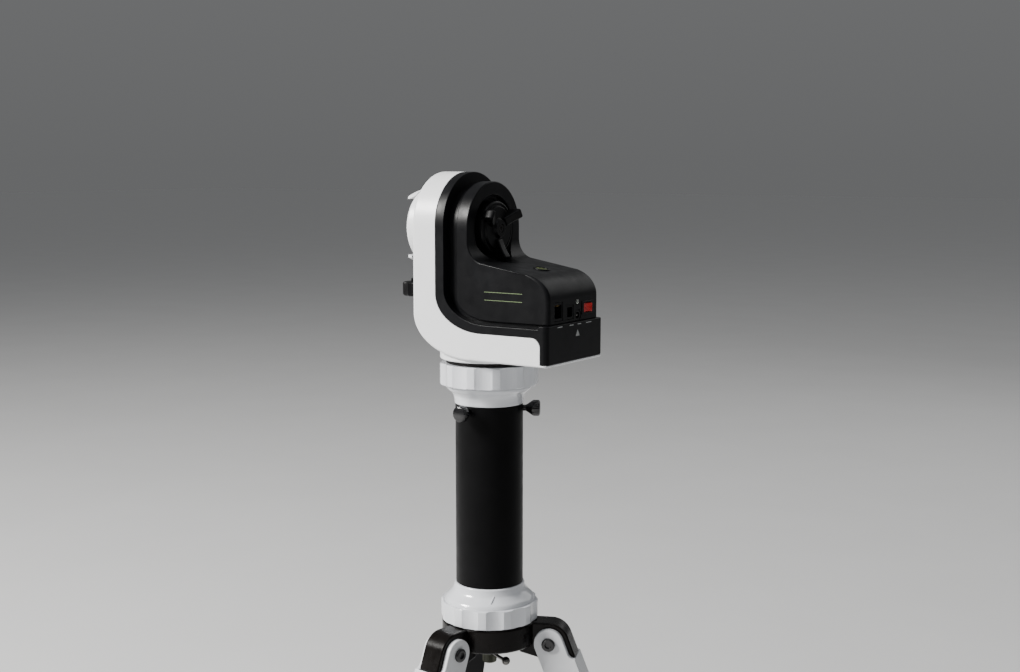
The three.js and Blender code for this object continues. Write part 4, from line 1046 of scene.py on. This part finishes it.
def area_light(name, direction, size, power, color=(1, 1, 1)):
    """A square light that faces the head from a direction."""
    target = HEAD @ Vector((0, 0, 20))
    towards = Vector(direction).normalized()
    data = bpy.data.lights.new(name, "AREA")
    data.shape = "SQUARE"
    data.size = size
    data.energy = power
    data.color = color
    light = bpy.data.objects.new(name, data)
    light.location = target + towards * LIGHT_DISTANCE
    light.rotation_euler = towards.to_track_quat("Z", "Y").to_euler()
    bpy.context.scene.collection.objects.link(light)


def lights():
    area_light("key", (-0.56, -0.66, 0.55), 1.4, 690, (1.0, 0.985, 0.96))
    area_light("sky", (0.1, -0.35, 1.0), 4.4, 66, (0.93, 0.96, 1.0))
    area_light("fill", (1.0, -0.75, 0.35), 3.4, 7)
    area_light("back", (0.2, 1.0, 0.55), 3.4, 34)
    world = bpy.data.worlds.new("studio")
    world.use_nodes = True
    nodes, links = world.node_tree.nodes, world.node_tree.links
    direction = nodes.new("ShaderNodeSeparateXYZ")
    links.new(nodes.new("ShaderNodeTexCoord").outputs["Generated"], direction.inputs["Vector"])
    # The horizon is as bright as a floor that this sky alone lights, so it meets the far floor softly.
    horizon = ZENITH * 2 * FLOOR_SHADE / (3 - FLOOR_SHADE)
    climb = nodes.new("ShaderNodeMapRange")
    climb.inputs["To Min"].default_value = horizon
    climb.inputs["To Max"].default_value = ZENITH
    links.new(direction.outputs["Z"], climb.inputs["Value"])
    links.new(climb.outputs["Result"], nodes["Background"].inputs["Strength"])
    nodes["Background"].inputs["Color"].default_value = (0.97, 0.985, 1.0, 1)
    bpy.context.scene.world = world


def camera():
    data = bpy.data.cameras.new("camera")
    data.lens = LENS
    data.sensor_width = 36
    data.clip_end = 100
    eye = bpy.data.objects.new("camera", data)
    axis = HEAD.translation
    eye.location = (axis.x + EYE[0], axis.y + EYE[1], axis.z + EYE[2])
    eye.rotation_euler = (radians(EYE_TILT), 0, radians(EYE_TURN))
    bpy.context.scene.collection.objects.link(eye)
    bpy.context.scene.camera = eye


# ------------------------------------------------------------------ everything

camera()
stage()
lights()
head_shell()
end_face_parts()
power_switch()
bubble_level()
base_flange()
saddle()
saddle_clamp()
clutch_knob()
pier()
hub()
hub_bolts()
legs()
dress_cad_nodes()
